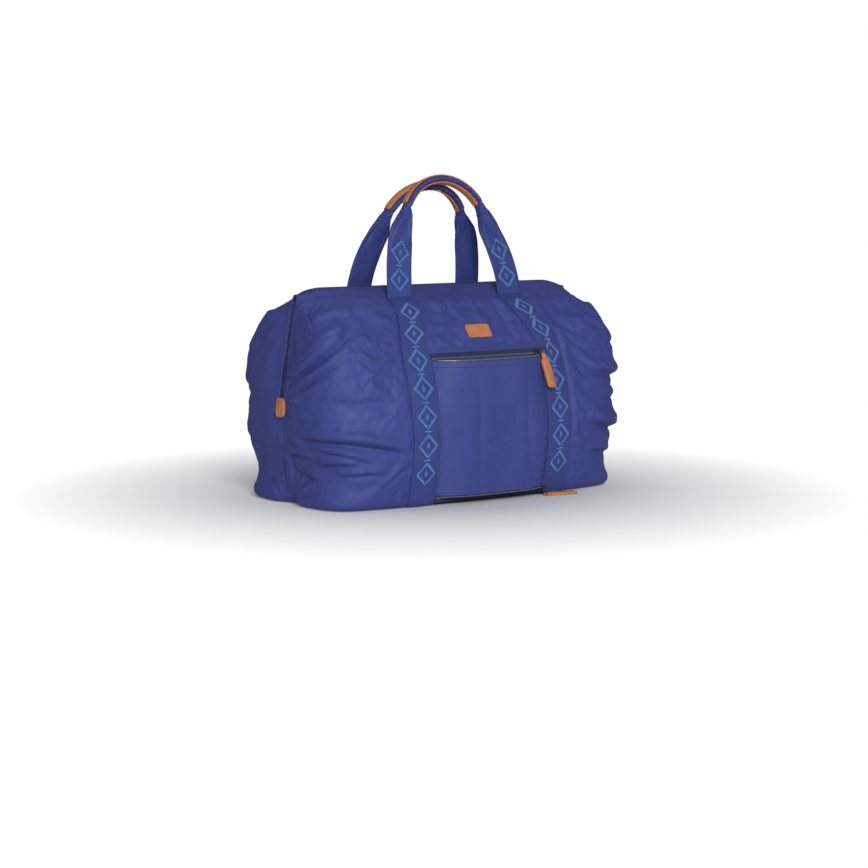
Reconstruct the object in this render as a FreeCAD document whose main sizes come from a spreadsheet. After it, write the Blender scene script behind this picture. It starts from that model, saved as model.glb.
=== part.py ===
"""Soft weekend tote with a trolley sleeve: fabric shells, zips, straps, handles and leather trim.

Frame: +Z up, X along the bag's length, -Y the rear face that carries the trolley sleeve.
Origin: centre of the base, on the surface that the bag stands on. Millimetres.
"""
import FreeCAD, Part
import math
import os

Vec = FreeCAD.Vector
Rot = FreeCAD.Rotation
Place = FreeCAD.Placement

doc = FreeCAD.newDocument("tote")

# ---------------------------------------------------------------- driving sizes
SIZES = [
    # outer shape of the filled bag: full lengths and depths at named heights
    ("base_length", 500), ("belly_length", 544), ("shoulder_length", 502), ("crest_length", 482),
    ("base_depth", 262), ("belly_depth", 294), ("fold_depth", 240), ("shoulder_depth", 144), ("crest_depth", 44),
    ("belly_height", 98), ("tab_height", 152), ("fold_height", 216), ("shoulder_height", 278),
    ("crest_height", 302), ("base_power", 5.0), ("crest_power", 3.1),
    ("zip_foot_length", 530), ("pinch_width", 30),
    # cloth
    ("panel_wall", 3), ("lining_wall", 0.8), ("cloth_gap", 0.4), ("joint_gap", 0.3), ("lining_gap", 0.7),
    ("base_corner", 80), ("lining_margin", 60),
    # trolley sleeve, and the flat that the trolley handle presses into the rear face behind it
    ("sleeve_half", 97), ("sleeve_low", 14.6), ("sleeve_high", 203), ("sleeve_wall", 1.5), ("sleeve_plane", 154),
    ("recess_half", 52), ("recess_blend", 28), ("recess_plane", 132),
    # straps and handles
    ("strap_width", 43), ("strap_wall", 1.8), ("strap_low", 8), ("strap_high", 290), ("strap_lean", 20.5),
    ("band_wall", 2.6), ("grip_radius", 74), ("grip_half_angle", 62), ("grip_width", 20), ("grip_core", 8.4),
    ("grip_leather", 1.7), ("handle_top", 463), ("handle_apart", 16), ("front_drop", 9),
    # zips
    ("tape_half", 10), ("tape_wall", 1.4), ("tooth_row", 2.1), ("tooth_height", 2.2), ("flange_inset", 44),
    ("tab_length", 27), ("tab_width", 21), ("tab_wall", 2.2), ("tab_stand", 1.2), ("row_tape", 8),
    ("top_row_height", 209.5), ("bottom_row_height", 7.8),
    # slider, link and leather pull
    ("slider_length", 13), ("slider_width", 8.4), ("slider_plate", 1.7), ("slider_lift", 0.35),
    ("bail_length", 7.2), ("bail_post", 1.2), ("bail_width", 2.2), ("bail_rise", 3.9),
    ("link_length", 12.6), ("link_width", 12.4), ("link_wire", 1.3),
    ("pull_length", 52), ("pull_width", 14), ("pull_neck", 7), ("pull_neck_length", 8), ("pull_wall", 3.2),
    ("pull_eye", 2.15), ("pull_hole", 1.15), ("slider_margin", 3), ("main_park", 19),
    ("main_pull_lean", 7), ("top_pull_lean", 25), ("bottom_link_turn", 100),
    # leather patch
    ("patch_width", 42), ("patch_low", 231), ("patch_high", 252), ("patch_wall", 1.4),
]
sheet = doc.addObject("Spreadsheet::Sheet", "Sizes")
for row, (alias, value) in enumerate(SIZES, start=1):
    sheet.set("A%d" % row, alias)
    sheet.set("B%d" % row, str(value))
    sheet.setAlias("B%d" % row, alias)
doc.recompute()


def size(alias):
    """Value of one driving size, read from the sheet."""
    return float(sheet.get(alias))


# ---------------------------------------------------------------- shape of the filled bag
def smooth_step(share):
    share = min(1.0, max(0.0, share))
    return share * share * (3.0 - 2.0 * share)


def curve_through(stations):
    """Monotone cubic through (height, value) stations, as a function of height."""
    heights = [s[0] for s in stations]
    values = [s[1] for s in stations]
    spans = [heights[i + 1] - heights[i] for i in range(len(heights) - 1)]
    slopes = [(values[i + 1] - values[i]) / spans[i] for i in range(len(spans))]
    tangents = [slopes[0]]
    for before, after in zip(slopes, slopes[1:]):
        tangents.append(0.0 if before * after <= 0 else 2.0 * before * after / (before + after))
    tangents.append(slopes[-1])

    def value_at(height):
        i = 0
        while i < len(spans) - 1 and height > heights[i + 1]:
            i += 1
        share = (height - heights[i]) / spans[i]
        a = 2 * share ** 3 - 3 * share ** 2 + 1
        b = share ** 3 - 2 * share ** 2 + share
        c = -2 * share ** 3 + 3 * share ** 2
        d = share ** 3 - share ** 2
        return a * values[i] + b * spans[i] * tangents[i] + c * values[i + 1] + d * spans[i] * tangents[i + 1]

    return value_at


half_depth = curve_through([
    (0.0, size("base_depth") / 2), (size("belly_height"), size("belly_depth") / 2),
    (size("fold_height"), size("fold_depth") / 2), (size("shoulder_height"), size("shoulder_depth") / 2),
    (size("crest_height"), size("crest_depth") / 2)])
half_length = curve_through([
    (0.0, size("base_length") / 2), (size("tab_height"), size("belly_length") / 2),
    (size("shoulder_height"), size("shoulder_length") / 2), (size("crest_height"), size("crest_length") / 2)])


def corner_power(height):
    """Exponent of the rounded outline: boxy at the base, rounder at the crest."""
    share = min(1.0, height / size("crest_height"))
    return size("base_power") + (size("crest_power") - size("base_power")) * share


def slant(profile, height):
    """How much longer a level cut through a wall is than the wall is thick."""
    step = 1.0
    high = min(height + step, size("crest_height"))
    low = max(height - step, 0.0)
    return math.hypot(1.0, (profile(high) - profile(low)) / (high - low))


def zip_line(height):
    """X of the straight end run of the main zip, from the leather tab up to the crest."""
    low, high = size("zip_foot_length") / 2, half_length(size("crest_height"))
    share = (height - size("tab_height")) / (size("crest_height") - size("tab_height"))
    return low + (high - low) * share


def pinch(height):
    """How far the middle of an end is drawn in: fully along the zip, fading towards the base."""
    if height < size("tab_height"):
        full = half_length(size("tab_height")) - zip_line(size("tab_height"))
        return full * smooth_step(height / size("tab_height"))
    return half_length(height) - zip_line(height)


def end_x(height):
    """X of the middle of the right end."""
    return half_length(height) - pinch(height)


def face_y(x, height, inset=0.0, pressed=True):
    """Y of the rear face at x, negative; pressed leaves the flat for the trolley handle."""
    depth = half_depth(height) - inset * slant(half_depth, height)
    length = half_length(height) - inset
    power = corner_power(height)
    y = -depth * (1.0 - min(1.0, abs(x) / length) ** power) ** (1.0 / power)
    plane = -(size("recess_plane") - inset)
    if pressed and y < plane:
        y += (plane - y) * (1.0 - smooth_step((abs(x) - size("recess_half")) / size("recess_blend")))
    return y


def half_outline(height, inset, start, pressed):
    """Points of the rear half's outline at one height, from the left end round to the right end."""
    power = corner_power(height)
    depth = half_depth(height) - inset * slant(half_depth, height)
    length = half_length(height) - inset * slant(half_length, height)
    edge, blend = size("recess_half"), size("recess_blend")
    strap_in, strap_out = size("sleeve_half"), size("sleeve_half") + size("strap_width")
    across = [0.0, edge / 2, edge] + [edge + blend * i / 5 for i in range(1, 6)]
    across += [strap_in + size("strap_width") * share for share in (0.1, 0.3, 0.6, 1.0)]
    side = [(x, face_y(x, height, inset, pressed)) for x in across]
    # round the corner by equal turns, then along the end by equal steps to the start line
    last = math.acos((strap_out / length) ** (power / 2))
    turn_y = start + 0.42 * (depth - start)
    first = math.asin((turn_y / depth) ** (power / 2))
    corner_turns, end_steps = 4, 7
    corner = []
    for i in range(1, corner_turns + 1):
        angle = last + (first - last) * i / corner_turns
        corner.append(depth * math.sin(angle) ** (2 / power))
    for i in range(1, end_steps + 1):
        corner.append(turn_y + (start - turn_y) * i / end_steps)
    for y in corner:
        x = length * (1.0 - (y / depth) ** power) ** (1.0 / power)
        side.append((x - pinch(height) * math.exp(-(y / size("pinch_width")) ** 2), -y))
    left = [Vec(-x, y, height) for x, y in reversed(side)]
    right = [Vec(x, y, height) for x, y in side[1:]]
    return left + right


def spline_edge(points):
    curve = Part.BSplineCurve()
    curve.interpolate(points)
    return curve.toShape()


def thin_wire(outer, inner):
    """Closed wire round a thin wall: outer line, end, inner line back, end."""
    back = list(reversed(inner))
    return Part.Wire([spline_edge(outer), Part.makeLine(outer[-1], back[0]),
                      spline_edge(back), Part.makeLine(back[-1], outer[0])])


def wall_shell(levels, outset, wall, start, pressed):
    """One fabric wall of the rear half, lofted through level cuts."""
    wires = []
    for height in levels:
        outer = half_outline(height, outset, start, pressed)
        inner = half_outline(height, outset + wall, start, pressed)
        wires.append(thin_wire(outer, inner))
    return Part.makeLoft(wires, True, True)


def ribbon(left_x, right_x, levels, surface, gap, wall, spans=4):
    """A strip between two x lines, gap off the surface(x, height) and wall thick."""
    wires = []
    for height in levels:
        a, b = left_x(height), right_x(height)
        lean = slant(half_depth, height)
        line = [(a + (b - a) * i / spans, height) for i in range(spans + 1)]
        outer = [Vec(x, surface(x, z) - (gap + wall) * lean, z) for x, z in line]
        inner = [Vec(x, surface(x, z) - gap * lean, z) for x, z in line]
        wires.append(thin_wire(outer, inner))
    return Part.makeLoft(wires, True, True)


def plain_face(x, height):
    return face_y(x, height, 0.0, False)


def sleeve_face(x, height):
    """Inner side of the sleeve: sewn down at both edges, standing off to a plane in the middle."""
    edge = plain_face(x, height)
    stand_off = size("sleeve_plane") + edge
    return edge - stand_off * (1.0 - min(1.0, abs(x) / size("sleeve_half")) ** 4)


def levels_between(low, high, count):
    return [low + (high - low) * i / count for i in range(count + 1)]


parts = []
ON_FACE = {"rear": Place(), "front": Place(Vec(0, 0, 0), Rot(Vec(0, 0, 1), 180))}


def fabric(name, shape, face="rear"):
    """A freeform sub-part, which neither a sketch feature nor a primitive can describe."""
    item = doc.addObject("Part::Feature", name)
    item.Label = name
    item.Shape = shape
    item.Placement = ON_FACE[face]
    parts.append(item)
    return item


# ---------------------------------------------------------------- shells and lining
fold = size("fold_height")
half_gap = size("joint_gap") / 2
base_top = size("panel_wall")
crest = size("crest_height")
low_levels = [base_top] + [fold * i / 12 for i in range(1, 12)] + [fold - half_gap]
high_levels = [fold + half_gap] + [fold + (crest - fold) * i / 10 for i in range(1, 11)]
lining_outset = size("panel_wall") + size("lining_gap")
lining_low = [base_top + size("lining_wall") + 2 * size("cloth_gap")] + low_levels[1:]
lining_high = [h for h in high_levels[:-2]]
end_reach = size("belly_length")


def zip_slot(low, high):
    """Box that opens the end walls for the zip tape."""
    width = 2 * size("tape_half")
    return Part.makeBox(2 * end_reach, width, high - low, Vec(-end_reach, -width / 2, low))


for side in ("rear", "front"):
    on_rear = side == "rear"
    lower = wall_shell(low_levels, 0.0, size("panel_wall"), half_gap, on_rear)
    lower = lower.cut(zip_slot(size("tab_height"), fold + 1))
    upper = wall_shell(high_levels, 0.0, size("panel_wall"), size("tape_half"), on_rear)
    lining_a = wall_shell(lining_low, lining_outset, size("lining_wall"), half_gap, on_rear)
    lining_b = wall_shell(lining_high, lining_outset, size("lining_wall"), size("tape_half"), on_rear)
    for name, shape in ((side + "_panel_lower", lower), (side + "_panel_upper", upper),
                        (side + "_lining_lower", lining_a), (side + "_lining_upper", lining_b)):
        fabric(name, shape, side)

# ---------------------------------------------------------------- straps sewn on the faces
strap_edge = size("sleeve_half") + 1.0


def strap_inner(height):
    """Inner edge of a sewn strap; above the fold line it leans towards the middle."""
    share = smooth_step((height - fold) / (size("strap_high") - fold))
    return strap_edge - size("strap_lean") * share


def strap_outer(height):
    return strap_inner(height) + size("strap_width")


strap_low_levels = [size("strap_low")] + low_levels[1:]
strap_high_levels = [h for h in high_levels if h < size("strap_high")] + [size("strap_high")]
for side in ("rear", "front"):
    on_rear = side == "rear"
    for hand, sign in (("left", -1), ("right", 1)):
        for part_name, levels in (("lower", strap_low_levels), ("upper", strap_high_levels)):
            near = (lambda h: strap_inner(h)) if sign > 0 else (lambda h: -strap_outer(h))
            far = (lambda h: strap_outer(h)) if sign > 0 else (lambda h: -strap_inner(h))
            strip = ribbon(near, far, levels, plain_face, size("cloth_gap"), size("strap_wall"))
            fabric("%s_strap_%s_%s" % (side, hand, part_name), strip, side)

# ---------------------------------------------------------------- trolley sleeve and its two zips
SLEEVE_SPANS = 12
ROW_MARGIN = 4.0


def sleeve_strip(levels, margin):
    """Part of the sleeve through level cuts, margin in from its side edges."""
    return ribbon(lambda h: margin - size("sleeve_half"), lambda h: size("sleeve_half") - margin,
                  levels, sleeve_face, size("cloth_gap"), size("sleeve_wall"),
                  SLEEVE_SPANS)


hair = size("cloth_gap") / 4
row = size("tooth_row")
sleeve_levels = [h for h in low_levels if size("sleeve_low") < h < size("sleeve_high")]
sleeve_levels = [size("sleeve_low")] + sleeve_levels + [size("sleeve_high")]
fabric("sleeve_panel", sleeve_strip(sleeve_levels, 0.0))
fabric("sleeve_top_zip_outer", sleeve_strip([size("sleeve_high") + hair, size("sleeve_high") + hair + row], ROW_MARGIN))
fabric("sleeve_bottom_zip_outer", sleeve_strip([size("sleeve_low") - hair - row, size("sleeve_low") - hair], ROW_MARGIN))
for end in ("top", "bottom"):
    middle = size(end + "_row_height")
    fabric("sleeve_%s_zip_inner" % end,
           ribbon(lambda h: -size("sleeve_half"), lambda h: size("sleeve_half"),
                  levels_between(middle - size("row_tape") / 2, middle + size("row_tape") / 2, 2),
                  plain_face, size("cloth_gap"), size("tape_wall")))

# ---------------------------------------------------------------- leather patch above the sleeve
fabric("leather_patch", ribbon(lambda h: -size("patch_width") / 2, lambda h: size("patch_width") / 2,
                               levels_between(size("patch_low"), size("patch_high"), 2),
                               plain_face, size("cloth_gap"), size("patch_wall")))


# ---------------------------------------------------------------- sketch helpers
def origin_plane(body, role):
    for feature in body.Origin.OriginFeatures:
        if feature.Role == role:
            return feature
    raise RuntimeError("no plane " + role)


def new_body(name):
    body = doc.addObject("PartDesign::Body", name)
    body.Label = name
    parts.append(body)
    return body


def new_sketch(body, name, role):
    sketch = body.newObject("Sketcher::SketchObject", name)
    sketch.AttachmentSupport = [(origin_plane(body, role), "")]
    sketch.MapMode = "FlatFace"
    return sketch


def sketch_polygon(sketch, points, bindings=()):
    """Closed outline. bindings: (point, 'X' or 'Y', expression) dimension one corner from the origin."""
    import Sketcher
    count = len(points)
    for i in range(count):
        a, b = points[i], points[(i + 1) % count]
        sketch.addGeometry(Part.LineSegment(Vec(a[0], a[1], 0), Vec(b[0], b[1], 0)), False)
    first = sketch.GeometryCount - count
    for i in range(count):
        sketch.addConstraint(Sketcher.Constraint("Coincident", first + i, 2, first + (i + 1) % count, 1))
    for corner, axis, expression in bindings:
        value = points[corner][0 if axis == "X" else 1]
        index = sketch.addConstraint(Sketcher.Constraint("Distance" + axis, -1, 1, first + corner, 1, value))
        sketch.setExpression("Constraints[%d]" % index, expression)


def sketch_box(sketch, x_low, x_high, y_low, y_high):
    """Rectangle whose four sides are expressions."""
    def number(expression):
        return float(doc.Sizes.evalExpression(expression.replace("Sizes.", "")))
    xs = (number(x_low), number(x_high))
    ys = (number(y_low), number(y_high))
    corners = [(xs[0], ys[0]), (xs[1], ys[0]), (xs[1], ys[1]), (xs[0], ys[1])]
    bound = []
    for corner, (ex, ey) in enumerate(((x_low, y_low), (x_high, y_low), (x_high, y_high), (x_low, y_high))):
        bound.append((corner, "X", ex))
        bound.append((corner, "Y", ey))
    sketch_polygon(sketch, corners, bound)


def pad(body, sketch, length, symmetric=False, backwards=False):
    feature = body.newObject("PartDesign::Pad", sketch.Name + "_pad")
    feature.Profile = sketch
    feature.setExpression("Length", length)
    feature.Midplane = symmetric
    feature.Reversed = backwards
    sketch.Visibility = False
    return feature


# ---------------------------------------------------------------- base
base = new_body("base_panel")
base_sketch = new_sketch(base, "base_outline", "XY_Plane")
sketch_box(base_sketch, "-Sizes.base_length / 2", "Sizes.base_length / 2",
           "-Sizes.base_depth / 2", "Sizes.base_depth / 2")
base_slab = pad(base, base_sketch, "Sizes.panel_wall - 0.1")
doc.recompute()
upright = []
for number, edge in enumerate(base.Shape.Edges, start=1):
    if abs(edge.tangentAt(edge.FirstParameter).z) > 0.99:
        upright.append("Edge%d" % number)
base_round = base.newObject("PartDesign::Fillet", "base_round")
base_round.Base = (base_slab, upright)
base_round.setExpression("Radius", "Sizes.base_corner")

base_lining = doc.addObject("Part::Box", "base_lining")
base_lining.Label = "base_lining"
base_lining.setExpression("Length", "Sizes.base_length - Sizes.lining_margin")
base_lining.setExpression("Width", "Sizes.base_depth - Sizes.lining_margin")
base_lining.setExpression("Height", "Sizes.lining_wall")
base_lining.Placement = Place(Vec(-(size("base_length") - size("lining_margin")) / 2,
                                  -(size("base_depth") - size("lining_margin")) / 2,
                                  base_top + size("cloth_gap") / 2), Rot())
parts.append(base_lining)


# ---------------------------------------------------------------- main zip
run_low = Vec(zip_line(size("tab_height")), 0, size("tab_height"))
run_high = Vec(zip_line(crest), 0, crest)
run_angle = math.degrees(math.atan2(run_low.x - run_high.x, run_high.z - run_low.z))


def end_bar(low, high, y_low, y_high, inner, outer):
    """Straight bar along the right end run: heights low to high, its faces measured from the zip line."""
    corners = []
    for height, off in ((low, inner), (low, outer), (high, outer), (high, inner)):
        corners.append(Vec(zip_line(height) + off, y_low, height))
    face = Part.Face(Part.makePolygon(corners + [corners[0]]))
    return face.extrude(Vec(0, y_high - y_low, 0))


def other_end(shape):
    return shape.mirror(Vec(0, 0, 0), Vec(1, 0, 0))


half_tape = size("tape_wall")
tooth_out = size("tooth_height") - size("tape_wall")
row_in = half_gap
row_out = size("tooth_row") + half_gap
crest_top = crest + size("joint_gap") + half_tape
tab_top = size("tab_height") + size("cloth_gap")
for hand in ("right", "left"):
    tape = end_bar(tab_top, fold - half_gap, -size("tape_half") + half_gap, size("tape_half") - half_gap,
                   -half_tape, 0.0)
    teeth = end_bar(tab_top, fold - half_gap, -row_out, row_out, -half_tape, tooth_out)
    chain = tape.fuse(teeth).removeSplitter()
    fabric("%s_zip_chain" % hand, chain if hand == "right" else other_end(chain))
for side in ("rear", "front"):
    edge_x = zip_line(crest)
    # end runs above the fold, top run and the flange that is sewn to the panel's upper edge
    tape_run = end_bar(fold + half_gap, crest_top, -size("tape_half") + half_gap, -row_out, -half_tape, 0.0)
    flange_y = -(size("crest_depth") / 2 + 1.0)
    top = Part.makeBox(2 * edge_x, size("tape_half") - half_gap - row_out, half_tape,
                       Vec(-edge_x, -size("tape_half") + half_gap, crest_top - half_tape))
    flange = Part.makeBox(2 * edge_x - 2 * size("flange_inset"), -flange_y - row_out, half_tape,
                          Vec(-edge_x + size("flange_inset"), flange_y, crest_top - half_tape))
    tape = tape_run.fuse([other_end(tape_run), top, flange]).removeSplitter()
    tooth_run = end_bar(fold + half_gap, crest_top, -row_out + 0.05, -row_in, -half_tape, tooth_out)
    tooth_top = Part.makeBox(2 * (edge_x + tooth_out), row_out - row_in - 0.05, size("tooth_height"),
                             Vec(-edge_x - tooth_out, -row_out + 0.05, crest_top - half_tape))
    teeth = tooth_run.fuse([other_end(tooth_run), tooth_top]).removeSplitter()
    fabric("%s_zip_tape" % side, tape, side)
    fabric("%s_zip_teeth" % side, teeth, side)

# leather tabs that close the two ends of the zip
for hand in ("right", "left"):
    tab = new_body("%s_zip_tab" % hand)
    outline = new_sketch(tab, hand + "_tab_outline", "XY_Plane")
    sketch_box(outline, "-Sizes.tab_length", "0 * Sizes.tab_length", "-Sizes.tab_width / 2", "Sizes.tab_width / 2")
    leather = pad(tab, outline, "Sizes.tab_wall")
    doc.recompute()
    corners = []
    for number, edge in enumerate(tab.Shape.Edges, start=1):
        if abs(edge.tangentAt(edge.FirstParameter).z) > 0.99:
            corners.append("Edge%d" % number)
    tab_round = tab.newObject("PartDesign::Fillet", hand + "_tab_round")
    tab_round.Base = (leather, corners)
    tab_round.setExpression("Radius", "Sizes.tab_width / 4")
    sign = 1 if hand == "right" else -1
    seat = end_x(size("tab_height") - size("tab_length")) + size("tab_stand")
    head = end_x(size("tab_height")) + size("tab_stand")
    lean = math.degrees(math.atan2(head - seat, size("tab_length")))
    turn = Rot(Vec(0, 1, 0), -90 + lean) if sign > 0 else Rot(Vec(0, 0, 1), 180).multiply(Rot(Vec(0, 1, 0), -90 + lean))
    turn = turn.multiply(Rot(Vec(1, 0, 0), 180))
    tab.Placement = Place(Vec(sign * head, 0, size("tab_height")), turn)


# ---------------------------------------------------------------- slider, link and leather pull
plate_low = size("tooth_height") / 2 + size("slider_lift")
plate_high = plate_low + size("slider_plate")
link_level = plate_high + size("bail_rise") / 2
pivot_x = 1.0
side_bar = size("link_width") / 2 - size("link_wire") / 2
far_bar = size("link_length") - size("link_wire")


def build_slider(name, place):
    """Slider plate that rides on the teeth, with the bail that holds the link. Local x is its travel."""
    body = new_body(name)
    plate = new_sketch(body, name + "_plate", "XY_Plane")
    half, nose = size("slider_length") / 2, size("slider_length") * 0.28
    wide, slim = size("slider_width") / 2, size("slider_width") * 0.32
    corners = [(-half, -slim), (-nose, -wide), (half, -wide), (half, wide), (-nose, wide), (-half, slim)]
    names = {"x": ("-Sizes.slider_length / 2", "-Sizes.slider_length * 0.28", "Sizes.slider_length / 2"),
             "y": ("Sizes.slider_width * 0.32", "Sizes.slider_width / 2")}
    bound = [(0, "X", names["x"][0]), (0, "Y", "-" + names["y"][0]), (1, "X", names["x"][1]),
             (1, "Y", "-" + names["y"][1]), (2, "X", names["x"][2]), (2, "Y", "-" + names["y"][1]),
             (3, "X", names["x"][2]), (3, "Y", names["y"][1]), (4, "X", names["x"][1]), (4, "Y", names["y"][1]),
             (5, "X", names["x"][0]), (5, "Y", names["y"][0])]
    sketch_polygon(plate, corners, bound)
    plate.AttachmentOffset = Place(Vec(0, 0, plate_low), Rot())
    plate.setExpression("AttachmentOffset.Base.z", "Sizes.tooth_height / 2 + Sizes.slider_lift")
    pad(body, plate, "Sizes.slider_plate")
    bail = new_sketch(body, name + "_bail", "XZ_Plane")
    reach = size("bail_length") / 2
    post = size("bail_post")
    base_z = plate_high - 0.2
    top = plate_high + size("bail_rise") + post
    arch = [(-reach, base_z), (-reach + post, base_z), (-reach + post, top - post), (reach - post, top - post),
            (reach - post, base_z), (reach, base_z), (reach, top), (-reach, top)]
    floor = "Sizes.tooth_height / 2 + Sizes.slider_lift + Sizes.slider_plate"
    x_words = ["-Sizes.bail_length / 2", "-Sizes.bail_length / 2 + Sizes.bail_post",
               "-Sizes.bail_length / 2 + Sizes.bail_post", "Sizes.bail_length / 2 - Sizes.bail_post",
               "Sizes.bail_length / 2 - Sizes.bail_post", "Sizes.bail_length / 2", "Sizes.bail_length / 2",
               "-Sizes.bail_length / 2"]
    z_words = [floor + " - 0.2"] * 2 + [floor + " + Sizes.bail_rise"] * 2 + [floor + " - 0.2"] * 2
    z_words += [floor + " + Sizes.bail_rise + Sizes.bail_post"] * 2
    bound = [(i, "X", x_words[i]) for i in range(8)] + [(i, "Y", z_words[i]) for i in range(8)]
    sketch_polygon(bail, arch, bound)
    pad(body, bail, "Sizes.bail_width", symmetric=True)
    body.Placement = place
    return body


def build_link(name, place):
    """Flat wire link. Its origin is the middle of the bar that the bail holds."""
    body = new_body(name)
    loop = new_sketch(body, name + "_loop", "XY_Plane")
    sketch_box(loop, "-Sizes.link_wire / 2", "Sizes.link_length - Sizes.link_wire / 2",
               "-Sizes.link_width / 2", "Sizes.link_width / 2")
    sketch_box(loop, "Sizes.link_wire / 2", "Sizes.link_length - 3 * Sizes.link_wire / 2",
               "-Sizes.link_width / 2 + Sizes.link_wire", "Sizes.link_width / 2 - Sizes.link_wire")
    pad(body, loop, "Sizes.link_wire", symmetric=True)
    body.Placement = place
    return body


def build_pull(name, place):
    """Leather strip folded over the link's bar. Origin on the bar's axis, which is local x; it hangs along -y."""
    body = new_body(name)
    outline = new_sketch(body, name + "_outline", "XY_Plane")
    neck, wide = size("pull_neck") / 2, size("pull_width") / 2
    top, drop, end = -size("pull_hole") - 0.35, -size("pull_neck_length"), -size("pull_length")
    chamfer = size("pull_width") / 2 - size("pull_neck") / 2
    corners = [(-neck, top), (-neck, drop), (-wide, drop - chamfer), (-wide, end), (wide, end),
               (wide, drop - chamfer), (neck, drop), (neck, top)]
    x_words = ["Sizes.pull_neck / 2", "Sizes.pull_neck / 2", "Sizes.pull_width / 2", "Sizes.pull_width / 2"]
    y_words = ["-Sizes.pull_hole - 0.35", "-Sizes.pull_neck_length",
               "-Sizes.pull_neck_length - Sizes.pull_width / 2 + Sizes.pull_neck / 2", "-Sizes.pull_length"]
    bound = []
    for i in range(8):
        near = i if i < 4 else 7 - i
        bound.append((i, "X", ("-" if i < 4 else "") + x_words[near]))
        bound.append((i, "Y", y_words[near]))
    sketch_polygon(outline, corners, bound)
    pad(body, outline, "Sizes.pull_wall", symmetric=True)
    import Sketcher
    eye = new_sketch(body, name + "_eye", "YZ_Plane")
    for word in ("pull_eye", "pull_hole"):
        eye.addGeometry(Part.Circle(Vec(0, 0, 0), Vec(0, 0, 1), size(word)), False)
        index = eye.GeometryCount - 1
        eye.addConstraint(Sketcher.Constraint("Coincident", index, 3, -1, 1))
        bound_at = eye.addConstraint(Sketcher.Constraint("Radius", index, size(word)))
        eye.setExpression("Constraints[%d]" % bound_at, "Sizes." + word)
    pad(body, eye, "Sizes.pull_neck", symmetric=True)
    body.Placement = place
    return body


def place_at(origin, x_axis, z_axis):
    """Placement whose local x and z axes point the given ways."""
    y_axis = z_axis.cross(x_axis)
    return Place(origin, Rot(x_axis, y_axis, z_axis, "XYZ"))


X, Y, Z = Vec(1, 0, 0), Vec(0, 1, 0), Vec(0, 0, 1)

# the two sleeve zips: both are open, with the sliders at the right end
for end in ("top", "bottom"):
    height = size(end + "_row_height")
    # the face is fullest under the slider's lower or upper edge, so the seat is measured there
    park = size("sleeve_half") - size("slider_margin")
    fullest = min(plain_face(park, height + side * size("slider_width") / 2) for side in (-1, 1))
    seat = Vec(park, fullest - size("cloth_gap") - size("tooth_height") / 2, height)
    build_slider("sleeve_%s_slider" % end, place_at(seat, X, -Y))
    pivot = seat + Vec(pivot_x, -link_level, 0)
    held = far_bar - size("pull_neck") / 2 - size("link_wire")
    if end == "top":
        build_link("sleeve_top_link", place_at(pivot, X, -Y))
        # the leather hangs from the link's lower bar, leaning off the face
        hang = Rot(X, -size("top_pull_lean")).multiply(Rot(X, Z, -Y, "XYZ"))
        build_pull("sleeve_top_pull", Place(pivot + X * held - Z * side_bar, hang))
    else:
        # the link stands off the face, and the leather lies on the ground that the bag stands on
        turn = Rot(Z, -size("bottom_link_turn"))
        out, away = turn.multVec(X), turn.multVec(Y)
        build_link("sleeve_bottom_link", Place(pivot, turn.multiply(Rot(X, Z, -Y, "XYZ"))))
        build_pull("sleeve_bottom_pull", Place(pivot + out * held - Z * side_bar, Rot(out, -away, Z * -1, "XYZ")))

# the main zip: slider parked at the foot of the right end run
up_run = (run_high - run_low).normalize()
out_run = up_run.cross(Y).multiply(-1) if up_run.cross(Y).x < 0 else up_run.cross(Y)
park_z = size("tab_height") + size("main_park")
run_seat = Vec(zip_line(park_z), 0, park_z) + out_run * (tooth_out - size("tooth_height") / 2)
build_slider("main_slider", place_at(run_seat, up_run * -1, out_run))
main_pivot = run_seat - up_run * pivot_x + out_run * link_level
build_link("main_link", place_at(main_pivot, up_run * -1, out_run))
main_eye = main_pivot - up_run * far_bar
build_pull("main_pull", Place(main_eye, Rot(Y, -size("main_pull_lean")).multiply(place_at(main_eye, Y, out_run).Rotation)))


# ---------------------------------------------------------------- handles
strap_lean_out = slant(half_depth, size("strap_high"))
exit_y = plain_face(strap_edge, size("strap_high")) - (size("cloth_gap") + size("strap_wall") / 2) * strap_lean_out
exit_z = size("strap_high") + size("band_wall") / 2 + size("joint_gap") + 0.2
BAND_TAIL = 1.0
foot_x = (strap_inner(size("strap_high")) + strap_outer(size("strap_high"))) / 2


def handle_frame(top):
    """Loop plane of a rear handle: origin on the sewn line, v along the loop, w across it."""
    rise = top - exit_z
    lean_in = -size("handle_apart") - exit_y
    v = Vec(0, lean_in, rise)
    length = v.Length
    v.normalize()
    return v, X.cross(v), length


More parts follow.
